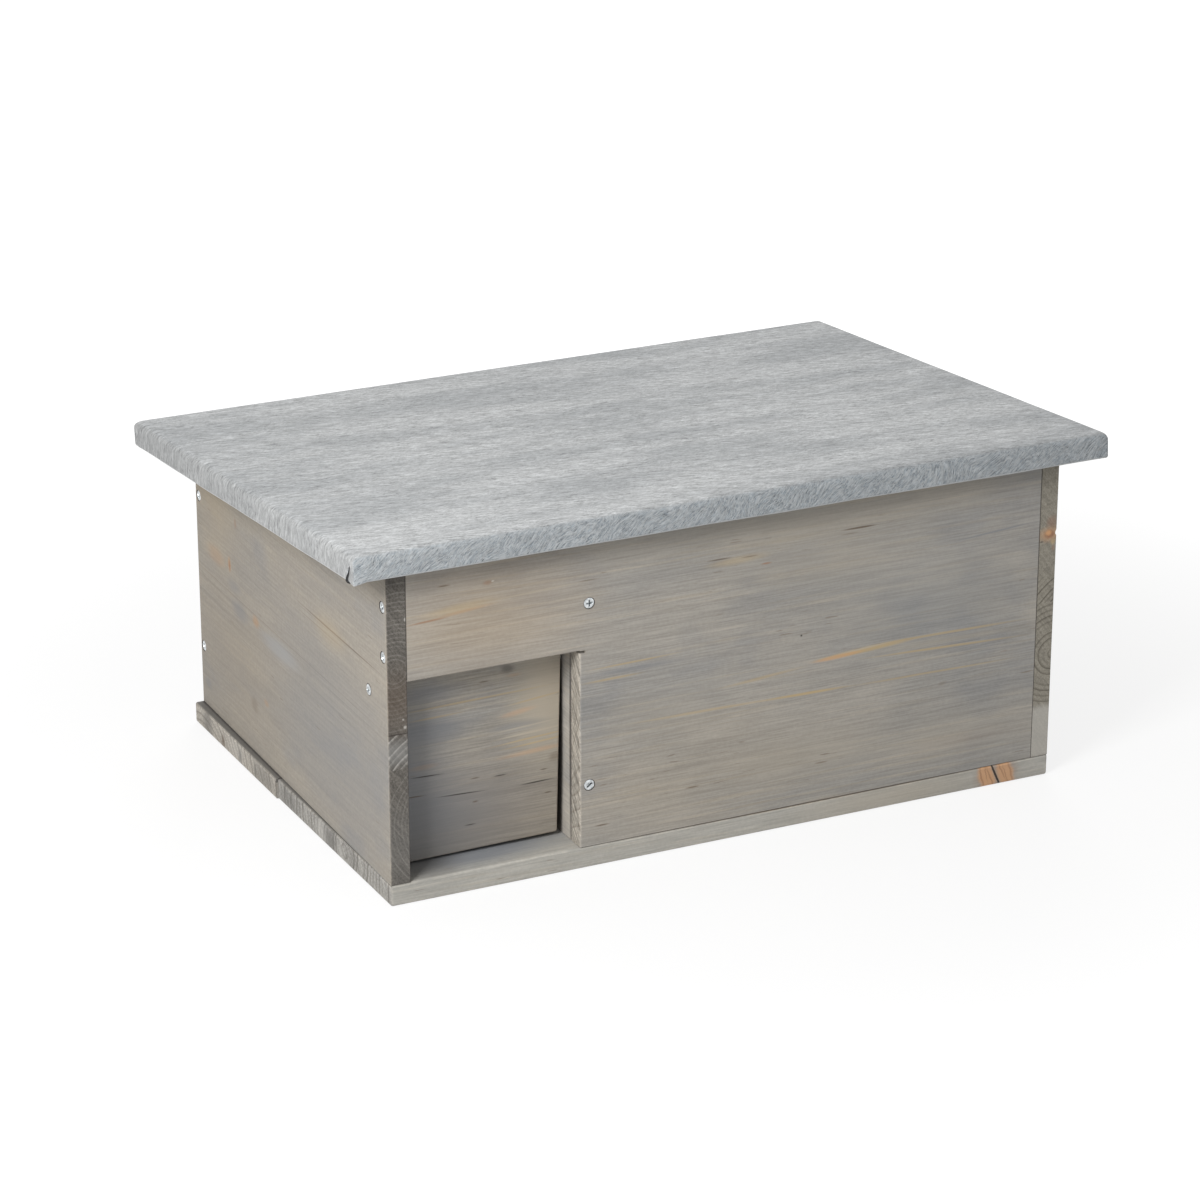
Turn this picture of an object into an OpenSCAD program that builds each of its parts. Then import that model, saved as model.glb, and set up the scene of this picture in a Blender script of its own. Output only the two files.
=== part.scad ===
// Hedgehog house: a stained pine box with an entrance corridor, a swinging flap
// and a felt-covered roof that hinges up at the back.
// +X is to the right along the front, +Y is to the back, +Z is up.

/* [Box] */
// Width over the two side walls
house_w = 413; // [340:1:500]
// Depth from the front face to the rear face
house_d = 288; // [250:1:360]
// Height of the wall tops at the front face, over the ground
front_h = 195.5; // [180:0.5:240]
// Thickness of the wall, panel and partition boards
wall_t = 11.5; // [9:0.5:15]

/* [Base] */
// Thickness of the two base boards
base_t = 12.5; // [9:0.5:18]
// Depth of the front base board
base_front_d = 160; // [120:1:190]
// Seam between the two base boards
base_seam = 0.4; // [0.2:0.1:1]
// How far the front board stands out on the left at the seam
base_front_proud = 2.6; // [0:0.1:6]
// How far the rear board stands out on the left at the seam
base_rear_proud = 3.8; // [0:0.1:8]
// How far the rear board stands out on the left at the back
base_back_proud = 5.2; // [0:0.1:10]

/* [Entrance] */
// Width of the entrance and of the corridor behind it
entrance_w = 101.5; // [90:0.5:140]
// Height of the entrance over the base
entrance_h = 117; // [100:1:130]
// Width of the saw cut that made the entrance
saw_kerf = 1.6; // [1:0.1:3]
// How far the saw ran past the entrance's inner corner
saw_overrun = 3.5; // [1:0.5:8]
// Free passage between the partition's end and the rear wall
passage_w = 115; // [90:1:140]

/* [Flap] */
// Thickness of the flap board
flap_t = 10; // [8:0.5:14]
// Distance of the pivot axis behind the front face
flap_setback = 25.5; // [24:0.5:40]
// Distance of the pivot axis below the top of the entrance
pivot_drop = 11.5; // [8:0.5:20]
// Height of the flap's top edge over the pivot axis
flap_rise = 9; // [7:0.5:12]
// Gap between the flap and the left wall
flap_left_gap = 0.8; // [0.5:0.1:3]
// Gap between the flap and the partition at the flap's top
flap_right_gap = 1.4; // [0.5:0.1:3]
// Gap between the flap and the base at the flap's left corner
flap_bottom_gap = 1.3; // [1:0.1:8]
// How far the flap's right edge draws in towards the bottom
flap_taper = 2.8; // [0:0.1:4]
// How far the flap's bottom edge rises towards the right
flap_lift = 1.3; // [0:0.1:4]
// Radius of the pivot screws' shanks
pivot_r = 2; // [1.5:0.1:2.5]
// Radial running clearance of the pivot screws in their holes
pivot_gap = 0.05; // [0.02:0.01:0.1]
// Length of each pivot screw inside the flap
pivot_bite = 18; // [10:1:30]
// How far the pivot screws' heads stand off their countersinks
pivot_head_gap = 0.4; // [0.3:0.1:1]

/* [Roof] */
// Fall of the roof towards the back, in degrees
roof_slope = 5; // [2:0.5:9]
// Thickness of the roof board
roof_board_t = 12; // [10:0.5:18]
// Thickness of the roofing felt
felt_t = 1.5; // [0.8:0.1:3]
// Rounding of the roof board's top edges under the felt
roof_edge_r = 2.5; // [1:0.5:5]
// Overhang beyond each side wall
side_overhang = 23.5; // [16:0.5:40]
// Overhang beyond the front face, along the slope
front_overhang = 14; // [8:0.5:40]
// Overhang beyond the rear face, along the slope
rear_overhang = 37.5; // [34:0.5:60]
// Bare board between the felt's turned-under hem and the front panel
hem_clear = 3; // [2:0.5:6]
// Gap between the closed roof and the wall tops
roof_gap = 0.3; // [0.2:0.1:1]

/* [Hinges] */
// Length of each hinge along its pin
hinge_l = 45; // [30:1:70]
// Distance from each side of the box to the hinge's middle
hinge_inset = 75; // [50:1:110]
// Width of each leaf from the pin's axis
leaf_w = 15; // [13:0.5:18]
// Thickness of the leaves
leaf_t = 1.2; // [0.8:0.1:2]
// Outer radius of the knuckles
knuckle_r = 2.8; // [2.4:0.1:3.2]
// Radius of the hinge pins
pin_r = 1.4; // [1:0.1:1.7]
// Radial running clearance of the pins in the knuckles
pin_gap = 0.05; // [0.02:0.01:0.1]
// Gap between turning hinge faces
hinge_gap = 0.3; // [0.2:0.1:0.6]
// Thickness of the pins' end caps
pin_cap = 0.8; // [0.5:0.1:1.5]

/* [Screws] */
// Diameter of the wall screws' shanks
screw_d = 3.5; // [3:0.1:4.5]
// Diameter of the wall and pivot screws' countersunk heads
screw_head_d = 6.5; // [6.4:0.1:8]
// Length of the wall screws
screw_l = 30; // [25:1:40]
// Clearance of a screw in its hole, all round
screw_gap = 0.05; // [0.02:0.01:0.1]
// Distance of the wall screws from the front and rear faces
screw_inset = 5; // [4:0.5:6]
// Distance of the front panel's upper screws below the panel's top
front_screw_drop = 23; // [12:1:30]
// Height of the front panel's lower strip screws over the entrance
strip_screw_rise = 14.5; // [8:0.5:24]
// Distance of the partition's upper screw below the panel's top
partition_screw_drop = 39; // [20:1:50]
// Distance of the rear wall's upper screws below its top
rear_screw_drop = 26; // [12:1:40]
// Height of the low screws over the base
low_screw_rise = 37; // [34:1:60]
// Distance of the outermost base screws from the board corners
base_screw_inset = 32; // [20:1:45]
// How far the base screws' heads are sunk below the base
base_screw_sink = 0.3; // [0.2:0.1:1]
// Diameter of the hinge screws' shanks
leaf_screw_d = 2.5; // [2:0.1:3]
// Diameter of the hinge screws' heads
leaf_screw_head_d = 4.8; // [4:0.1:5.4]
// Length of the hinge screws
leaf_screw_l = 9; // [7:0.5:10]
// Distance of the hinge screws from the leaf's outer edge
leaf_screw_edge = 5; // [4:0.5:6]
// Distance of the hinge screws from the leaf's ends
leaf_screw_end = 8; // [5:0.5:12]

/* [Hidden] */
$fn = 48;
cut = 1;
arc_steps = 8;
felt_edge_r = roof_edge_r + felt_t;
board_ease_r = 0.6;
// Straight rim of a countersunk head, and radius of a screw's blunt tip
head_rim = 0.4;
tip_r = 0.2;
hem_w = front_overhang - hem_clear;

// The roof's length is measured along its slope, from the felt's front to its back
slope_cos = cos(roof_slope);
slope_sin = sin(roof_slope);
slope_tan = tan(roof_slope);
roof_back = house_d / slope_cos + rear_overhang;
roof_w = house_w + 2 * side_overhang;

// The plan of the whole roof is centred on the origin
plan_front = -front_overhang * slope_cos - felt_t * slope_sin;
plan_back = roof_back * slope_cos + (roof_board_t + felt_t - felt_edge_r) * slope_sin
    + felt_edge_r * (1 - slope_cos);
front_y = -(plan_front + plan_back) / 2;
rear_y = front_y + house_d;

left_x = -house_w / 2;
right_x = house_w / 2;
left_in = left_x + wall_t;
right_in = right_x - wall_t;
front_in = front_y + wall_t;
rear_in = rear_y - wall_t;

entrance_top = base_t + entrance_h;
partition_x = left_in + entrance_w;
partition_mid = partition_x + wall_t / 2;
partition_end = rear_in - passage_w;

pivot_y = front_y + flap_setback;
pivot_z = entrance_top - pivot_drop;
flap_left = left_in + flap_left_gap;
flap_right = partition_x - flap_right_gap;
flap_bottom = base_t + flap_bottom_gap;

// The hinge axis lies clear of both the rear face and the roof's underside
axis_off = knuckle_r + hinge_gap;
axis_y = rear_y + axis_off;
axis_u = (axis_y - front_y + axis_off * slope_sin) / slope_cos;
axis_z = front_h + roof_gap - axis_u * slope_sin - axis_off * slope_cos;

// Spans of the knuckles along a hinge: the wall leaf has the outer two, the roof leaf the middle one
knuckle_l = hinge_l / 3;
outer_spans = [[0, knuckle_l - hinge_gap / 2], [2 * knuckle_l + hinge_gap / 2, hinge_l]];
middle_spans = [[knuckle_l + hinge_gap / 2, 2 * knuckle_l - hinge_gap / 2]];
hinge_xs = [left_x + hinge_inset, right_x - hinge_inset];

rear_top = wall_top(rear_y);
low_screw_z = base_t + low_screw_rise;
left_screw_zs = [front_h - front_screw_drop, entrance_top + strip_screw_rise];
right_screw_zs = concat(left_screw_zs, [low_screw_z]);
rear_screw_zs = [rear_top - rear_screw_drop, low_screw_z];
partition_screw_zs = [front_h - partition_screw_drop, low_screw_z];
front_screw_y = front_y + screw_inset;
rear_screw_y = rear_y - screw_inset;

seam_y = front_y + base_front_d;
base_screw_xys = concat(
    [for (x = [left_x + wall_t / 2, right_x - wall_t / 2],
          y = [front_y + base_screw_inset, seam_y - base_screw_inset,
               seam_y + base_screw_inset, rear_y - base_screw_inset]) [x, y]],
    [for (x = [partition_mid + base_screw_inset, right_in - base_screw_inset])
        [x, front_y + wall_t / 2]],
    [for (x = [left_in + base_screw_inset, 0, right_in - base_screw_inset])
        [x, rear_y - wall_t / 2]],
    [[partition_mid, front_in + base_screw_inset]]);

pine = "#a39c92";
pine_end = "#8a847a";
felt_grey = "#b4b8ba";
zinc = "#c9ccce";

// Height of the wall tops at a distance y, under the sloping roof
function wall_top(y) = front_h - (y - front_y) * slope_tan;

// Points of an arc round a centre, from one angle to another
function arc(centre, r, from, to) =
    [for (i = [0 : arc_steps])
        let (a = from + (to - from) * i / arc_steps) centre + r * [cos(a), sin(a)]];

// Section of a slab between two sides, with rounded top and bottom corners
function slab_section(lo, hi, bottom, top, r_top, r_bottom) = concat(
    arc([hi - r_bottom, bottom + r_bottom], r_bottom, -90, 0),
    arc([hi - r_top, top - r_top], r_top, 0, 90),
    arc([lo + r_top, top - r_top], r_top, 90, 180),
    arc([lo + r_bottom, bottom + r_bottom], r_bottom, 180, 270));

// Extrudes a section drawn in Y and Z from x0 to x1
module along_x(x0, x1) {
    translate([x0, 0, 0]) rotate([90, 0, 90]) linear_extrude(x1 - x0) children();
}

// Extrudes a section drawn in X and Z from y0 to y1
module along_y(y0, y1) {
    translate([0, y1, 0]) rotate([90, 0, 0]) linear_extrude(y1 - y0) children();
}

// A board standing on the base, cut to the roof's slope along its top
module standing_board(x0, x1, y0, y1) {
    along_x(x0, x1)
        polygon([[y0, base_t], [y1, base_t], [y1, wall_top(y1)], [y0, wall_top(y0)]]);
}

// Slab with rounded edges, open to the same rounding on all four sides
module rounded_slab(x_half, y0, y1, bottom, top, r_top, r_bottom) {
    intersection() {
        along_y(y0, y1) polygon(slab_section(-x_half, x_half, bottom, top, r_top, r_bottom));
        along_x(-x_half, x_half) polygon(slab_section(y0, y1, bottom, top, r_top, r_bottom));
    }
}

// Puts its children into the roof's own frame: Y down the slope from the front face,
// Z square to the underside
module on_roof() {
    translate([0, front_y, front_h + roof_gap]) rotate([-roof_slope, 0, 0]) children();
}

// Countersunk screw along -Z, its head's top at the origin, grown by a clearance for its hole
module screw_form(d, head_d, length, grow = 0) {
    r = d / 2 + grow;
    head_r = head_d / 2 + grow;
    cone_h = (head_d - d) / 2;
    tip_l = d;
    rotate_extrude()
        polygon([[0, 0], [head_r, 0], [head_r, -head_rim], [r, -head_rim - cone_h], [r, tip_l - length],
                 [tip_r + grow, -length - grow], [0, -length - grow]]);
}

// Hole of a countersunk screw, open over its head
module screw_hole(d, head_d, length) {
    screw_form(d, head_d, length, screw_gap);
    translate([0, 0, -screw_gap]) cylinder(r = head_d / 2 + screw_gap, h = cut + screw_gap);
}

// Places children at the screws through one side wall, heads out
module at_side_screws(x, turn, front_zs) {
    for (z = front_zs) translate([x, front_screw_y, z]) rotate([0, turn, 0]) children();
    for (z = rear_screw_zs) translate([x, rear_screw_y, z]) rotate([0, turn, 0]) children();
}
module at_left_screws() { at_side_screws(left_x, -90, left_screw_zs) children(); }
module at_right_screws() { at_side_screws(right_x, 90, right_screw_zs) children(); }

// Places children at the screws from the front panel into the partition
module at_partition_screws() {
    for (z = partition_screw_zs)
        translate([partition_mid, front_y, z]) rotate([90, 0, 0]) children();
}

// Places children at the screws from below the base
module at_base_screws() {
    for (p = base_screw_xys)
        translate([p[0], p[1], base_screw_sink]) rotate([180, 0, 0]) children();
}

module wall_screw() { screw_form(screw_d, screw_head_d, screw_l); }
module wall_screw_hole() { screw_hole(screw_d, screw_head_d, screw_l); }
module leaf_screw() { screw_form(leaf_screw_d, leaf_screw_head_d, leaf_screw_l); }
module leaf_screw_hole() { screw_hole(leaf_screw_d, leaf_screw_head_d, leaf_screw_l); }

// Pivot screw along -Z through a board into the flap, its head's top at the origin
module pivot_form(wall_gap, grow) {
    screw_form(2 * pivot_r, screw_head_d, pivot_head_gap + wall_t + wall_gap + pivot_bite, grow);
}

// Running hole through the board that carries a pivot screw, with a countersink for its head
module pivot_hole() {
    r = pivot_r + pivot_gap;
    sink_r = screw_head_d / 2 + pivot_head_gap;
    sink_h = pivot_head_gap + sink_r - r;
    rotate_extrude()
        polygon([[0, cut], [sink_r, cut], [sink_r, -pivot_head_gap], [r, -sink_h], [r, -wall_t - cut],
                 [0, -wall_t - cut]]);
}

// Places children at the left pivot, their -Z pointing into the flap, raised off the wall
module at_left_pivot(raise = 0) {
    translate([left_x - raise, pivot_y, pivot_z]) rotate([0, -90, 0]) children();
}

// Places children at the right pivot, on the partition's far face
module at_right_pivot(raise = 0) {
    translate([partition_x + wall_t + raise, pivot_y, pivot_z]) rotate([0, 90, 0]) children();
}

// Base board with a left end that runs slightly out of square
module base_board(y0, y1, proud0, proud1) {
    difference() {
        linear_extrude(base_t)
            polygon([[left_x - proud0, y0], [right_x, y0], [right_x, y1], [left_x - proud1, y1]]);
        at_base_screws() wall_screw_hole();
    }
}

module base_front_board() { color(pine) base_board(front_y, seam_y, 0, base_front_proud); }

module base_rear_board() {
    color(pine) base_board(seam_y + base_seam, rear_y, base_rear_proud, base_back_proud);
}

module left_wall() {
    color(pine) difference() {
        standing_board(left_x, left_in, front_y, rear_y);
        at_left_screws() wall_screw_hole();
        at_base_screws() wall_screw_hole();
        at_left_pivot() pivot_hole();
    }
}

module right_wall() {
    color(pine) difference() {
        standing_board(right_in, right_x, front_y, rear_y);
        at_right_screws() wall_screw_hole();
        at_base_screws() wall_screw_hole();
    }
}

// Entrance sawn out of the front panel, with the saw's overrun past the inner corner
module entrance_cut() {
    translate([left_in - cut, front_y - cut, base_t - cut])
        cube([entrance_w + cut, wall_t + 2 * cut, entrance_h + cut]);
    translate([partition_x - cut, front_y - cut, entrance_top - saw_kerf])
        cube([saw_overrun + cut, wall_t + 2 * cut, saw_kerf]);
}

module front_panel() {
    color(pine) difference() {
        standing_board(left_in, right_in, front_y, front_in);
        entrance_cut();
        at_partition_screws() wall_screw_hole();
        at_left_screws() wall_screw_hole();
        at_right_screws() wall_screw_hole();
        at_base_screws() wall_screw_hole();
    }
}

module rear_wall() {
    color(pine) difference() {
        standing_board(left_in, right_in, rear_in, rear_y);
        at_left_screws() wall_screw_hole();
        at_right_screws() wall_screw_hole();
        at_base_screws() wall_screw_hole();
        at_wall_leaf_screws() leaf_screw_hole();
    }
}

module partition() {
    color(pine) difference() {
        standing_board(partition_x, partition_x + wall_t, front_in, partition_end);
        at_partition_screws() wall_screw_hole();
        at_base_screws() wall_screw_hole();
        at_right_pivot() pivot_hole();
    }
}

module flap() {
    color(pine_end) difference() {
        along_y(pivot_y - flap_t / 2, pivot_y + flap_t / 2)
            polygon([[flap_left, flap_bottom], [flap_right - flap_taper, flap_bottom + flap_lift],
                     [flap_right, pivot_z + flap_rise], [flap_left, pivot_z + flap_rise]]);
        at_left_pivot(pivot_head_gap) pivot_form(flap_left_gap, screw_gap);
        at_right_pivot(pivot_head_gap) pivot_form(flap_right_gap, screw_gap);
    }
}

module flap_pivot_screw_left() {
    color(zinc) at_left_pivot(pivot_head_gap) pivot_form(flap_left_gap, 0);
}

module flap_pivot_screw_right() {
    color(zinc) at_right_pivot(pivot_head_gap) pivot_form(flap_right_gap, 0);
}

// Roof board without its screw holes, in the roof's frame
module roof_blank() {
    rounded_slab(roof_w / 2 - felt_t, felt_t - front_overhang, roof_back - felt_t,
                 0, roof_board_t, roof_edge_r, board_ease_r);
}

module roof_board() {
    color(pine) difference() {
        on_roof() roof_blank();
        at_roof_leaf_screws() leaf_screw_hole();
    }
}

// Felt over the top and the edges, turned under in a hem along all four sides
module roof_felt() {
    color(felt_grey) on_roof() difference() {
        rounded_slab(roof_w / 2, -front_overhang, roof_back, -felt_t, roof_board_t + felt_t,
                     felt_edge_r, felt_t);
        roof_blank();
        translate([hem_w - roof_w / 2, hem_w - front_overhang, -felt_t - cut])
            cube([roof_w - 2 * hem_w, roof_back + front_overhang - 2 * hem_w, felt_t + 2 * cut]);
    }
}

// Round bar along a hinge's axis, from one place to another, measured from its left end
module hinge_bar(x, r, from, to) {
    translate([x - hinge_l / 2 + from, axis_y, axis_z]) rotate([0, 90, 0]) cylinder(r = r, h = to - from);
}

// Leaf of a hinge: a plate along the axis with a tongue rolled into each of its knuckles.
// The plate lies in X and Y, its back on Z = 0, with the axis over Y = 0.
module leaf_plate(spans) {
    translate([-hinge_l / 2, axis_off, 0]) cube([hinge_l, leaf_w - axis_off, leaf_t]);
    for (s = spans)
        translate([s[0] - hinge_l / 2, 0, 0]) cube([s[1] - s[0], axis_off + leaf_t, leaf_t]);
}

module wall_leaf(x) {
    color(zinc) difference() {
        union() {
            translate([x, rear_y, axis_z]) rotate([-90, 0, 0]) leaf_plate(outer_spans);
            for (s = outer_spans) hinge_bar(x, knuckle_r, s[0], s[1]);
        }
        hinge_bar(x, pin_r + pin_gap, -cut, hinge_l + cut);
        at_wall_leaf_screws() leaf_screw_hole();
    }
}

module roof_leaf(x) {
    color(zinc) difference() {
        union() {
            on_roof() translate([x, axis_u, 0]) mirror([0, 0, 1]) leaf_plate(middle_spans);
            for (s = middle_spans) hinge_bar(x, knuckle_r, s[0], s[1]);
        }
        hinge_bar(x, pin_r + pin_gap, -cut, hinge_l + cut);
        at_roof_leaf_screws() leaf_screw_hole();
    }
}

// Pin with a flat cap at each end
module hinge_pin(x) {
    cap_r = (pin_r + knuckle_r) / 2;
    color(zinc) {
        hinge_bar(x, pin_r, -pin_cap, hinge_l + pin_cap);
        hinge_bar(x, cap_r, -pin_cap, 0);
        hinge_bar(x, cap_r, hinge_l, hinge_l + pin_cap);
    }
}

// Places children at the screws of the wall leaves, heads to the back
module at_wall_leaf_screws() {
    for (x = hinge_xs, side = [-1, 1])
        translate([x + side * (hinge_l / 2 - leaf_screw_end), rear_y + leaf_t,
                   axis_z - leaf_w + leaf_screw_edge])
            rotate([-90, 0, 0]) children();
}

// Places children at the screws of the roof leaves, heads down
module at_roof_leaf_screws() {
    for (x = hinge_xs, side = [-1, 1])
        on_roof()
            translate([x + side * (hinge_l / 2 - leaf_screw_end), axis_u + leaf_w - leaf_screw_edge, -leaf_t])
                rotate([180, 0, 0]) children();
}

module wall_hinge_leaf_left() { wall_leaf(hinge_xs[0]); }
module wall_hinge_leaf_right() { wall_leaf(hinge_xs[1]); }
module roof_hinge_leaf_left() { roof_leaf(hinge_xs[0]); }
module roof_hinge_leaf_right() { roof_leaf(hinge_xs[1]); }
module hinge_pin_left() { hinge_pin(hinge_xs[0]); }
module hinge_pin_right() { hinge_pin(hinge_xs[1]); }
module wall_leaf_screws() { color(zinc) at_wall_leaf_screws() leaf_screw(); }
module roof_leaf_screws() { color(zinc) at_roof_leaf_screws() leaf_screw(); }
module partition_screws() { color(zinc) at_partition_screws() wall_screw(); }
module left_wall_screws() { color(zinc) at_left_screws() wall_screw(); }
module right_wall_screws() { color(zinc) at_right_screws() wall_screw(); }
module base_screws() { color(zinc) at_base_screws() wall_screw(); }

base_front_board();
base_rear_board();
left_wall();
right_wall();
front_panel();
rear_wall();
partition();
flap();
flap_pivot_screw_left();
flap_pivot_screw_right();
roof_board();
roof_felt();
wall_hinge_leaf_left();
wall_hinge_leaf_right();
roof_hinge_leaf_left();
roof_hinge_leaf_right();
hinge_pin_left();
hinge_pin_right();
wall_leaf_screws();
roof_leaf_screws();
partition_screws();
left_wall_screws();
right_wall_screws();
base_screws();
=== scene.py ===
"""Looks of a hedgehog house: stained pine boards, a swinging flap and a felt-covered roof on hinges.

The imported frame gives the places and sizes, and this script dresses them. Meshes are in metres.
Grain, knots and stains are laid out in millimetres, because their shader coordinates are scaled so.
"""

from __future__ import annotations

import logging
import math
from collections.abc import Callable, Iterable, Sequence
from dataclasses import dataclass, field
from enum import Enum
from functools import cache

import bmesh
import bpy
from mathutils import Matrix, Vector, noise

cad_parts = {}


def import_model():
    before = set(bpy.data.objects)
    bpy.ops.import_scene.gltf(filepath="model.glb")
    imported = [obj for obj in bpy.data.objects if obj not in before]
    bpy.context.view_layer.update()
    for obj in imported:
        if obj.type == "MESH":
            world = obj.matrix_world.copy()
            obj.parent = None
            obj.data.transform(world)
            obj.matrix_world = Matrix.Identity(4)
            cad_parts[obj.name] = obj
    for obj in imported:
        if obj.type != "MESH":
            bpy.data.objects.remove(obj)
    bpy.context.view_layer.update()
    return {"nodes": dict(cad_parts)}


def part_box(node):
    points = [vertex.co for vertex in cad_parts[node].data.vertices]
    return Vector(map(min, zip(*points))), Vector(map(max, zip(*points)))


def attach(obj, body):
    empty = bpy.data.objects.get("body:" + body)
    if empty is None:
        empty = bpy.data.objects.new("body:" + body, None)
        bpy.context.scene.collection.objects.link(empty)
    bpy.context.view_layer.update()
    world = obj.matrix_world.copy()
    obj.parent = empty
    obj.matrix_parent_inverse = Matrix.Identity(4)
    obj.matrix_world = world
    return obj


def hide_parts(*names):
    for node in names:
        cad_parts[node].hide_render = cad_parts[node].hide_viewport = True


LOG = logging.getLogger("hedgehog_house")
# A millimetre in metres
MM = 0.001
# How far a shape that cuts or is cut reaches past the cut
PAST = 1.0 * MM
# Distance under which two places count as one
TOUCH = 0.00001
# Attribute of a board's faces: 1 on rubbed edges, -1 on grimy joints and in the screws' countersinks,
# whose dark is partly painted shade
WEAR_AND_SHADE = "wear_and_shade"
# Map of the felt's flat coordinates
SHEET_UV = "felt_flat"
WHITE = (1.0, 1.0, 1.0, 1.0)

Triple = tuple[float, float, float]
Colour = Triple
Span = tuple[float, float]
Tree = bpy.types.NodeTree
Node = bpy.types.Node
Outputs = bpy.types.NodeOutputs
Socket = bpy.types.NodeSocket
Material = bpy.types.Material
Piece = bpy.types.Object
Mesh = bmesh.types.BMesh
Edge = bmesh.types.BMEdge
Value = float | Sequence[float] | Socket


class Grain(Enum):
    """Direction of a board's fibres, as the turn that brings it to the shader's X axis."""

    ALONG_X = 0.0
    ALONG_Y = -math.pi / 2


class Side(Enum):
    """Face of a board that its marks are laid out on."""

    FRONT = "front"
    LEFT = "left"
    RIGHT = "right"


class Tint(Enum):
    """Colours that stain, resin and growth give to single places in the pine, and the tones of painted
    shade and painted light at some marks, as linear values.
    """

    CREAM = (0.50, 0.44, 0.35)
    OCHRE = (0.52, 0.39, 0.21)
    ORANGE = (0.50, 0.27, 0.12)
    RUST = (0.30, 0.15, 0.09)
    BROWN = (0.22, 0.18, 0.14)
    SLATE = (0.21, 0.225, 0.25)
    ASH = (0.34, 0.34, 0.33)
    SOOT = (0.035, 0.03, 0.027)
    CHALK = (0.62, 0.60, 0.56)
    UMBER = (0.11, 0.075, 0.05)
    AMBER = (0.68, 0.38, 0.19)
    SMOKE = (0.13, 0.124, 0.115)
    MIST = (0.36, 0.365, 0.375)


@dataclass(frozen=True)
class Pattern:
    """A noise: cycles per millimetre along each axis, octaves, share of the finer ones, and a shift."""

    stretch: Triple
    detail: float = 2.0
    roughness: float = 0.5
    shift: float = 0.0


# Noises of the pine, whose grain runs along X
RING_SWAY = Pattern((0.006, 0.035, 0.035))
FIBRES = Pattern((0.035, 1.2, 1.2), 4.0, 0.72)
STREAKS = Pattern((0.009, 0.42, 0.42), 3.0, 0.6, 3.1)
CLOUDS = Pattern((0.011, 0.024, 0.024), 3.0, 0.5, 7.7)
SHORT_TICKS = Pattern((0.07, 0.8, 0.8), 1.0, 0.5, 11.3)
TICKED_AREAS = Pattern((0.01, 0.035, 0.035), 1.0, 0.5, 5.9)
MARK_SWAY = Pattern((0.03, 0.25, 0.25), 3.0, 0.6, 6.2)
SAW_MARKS = Pattern((0.01, 0.75, 0.07), 2.0, 0.6)
PORES = Pattern((0.2, 0.9, 0.9), 3.0, 0.7, 2.3)
RUBBED_PATCHES = Pattern((0.11, 0.11, 0.11), 3.0, 0.6, 1.9)
BROAD_MOTTLE = Pattern((0.015, 0.025, 0.025), 3.0, 0.55, 4.4)
FINE_MOTTLE = Pattern((0.5, 0.5, 0.5), 3.0, 0.6, 8.8)
# Noises of the felt, on its flat coordinates
STRAND_WAVES = Pattern((0.075, 0.62, 1.0), 1.0)
STRAND_DASHES = Pattern((0.13, 0.72, 1.0), 2.0, 0.6, 1.3)
STRAND_CURL = Pattern((0.03, 0.03, 0.0), 1.0)
BLOTCHES = Pattern((0.008, 0.03, 1.0), 3.0, 0.6, 2.7)
TUFTS = Pattern((0.075, 0.5, 1.0), 3.0, 0.6, 5.1)
FELT_GRAIN = Pattern((0.4, 0.8, 1.0), 2.0, 0.8, 7.3)
# How far a pattern's shift goes along each axis
SHIFT_WAY = (1.0, 1.7, 0.6)
# Range that most of a noise's values lie in, and a wider one for softer contrast
CORE = (0.3, 0.7)
WIDE = (0.28, 0.72)
HALF = (0.5, 0.5, 0.5)


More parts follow.
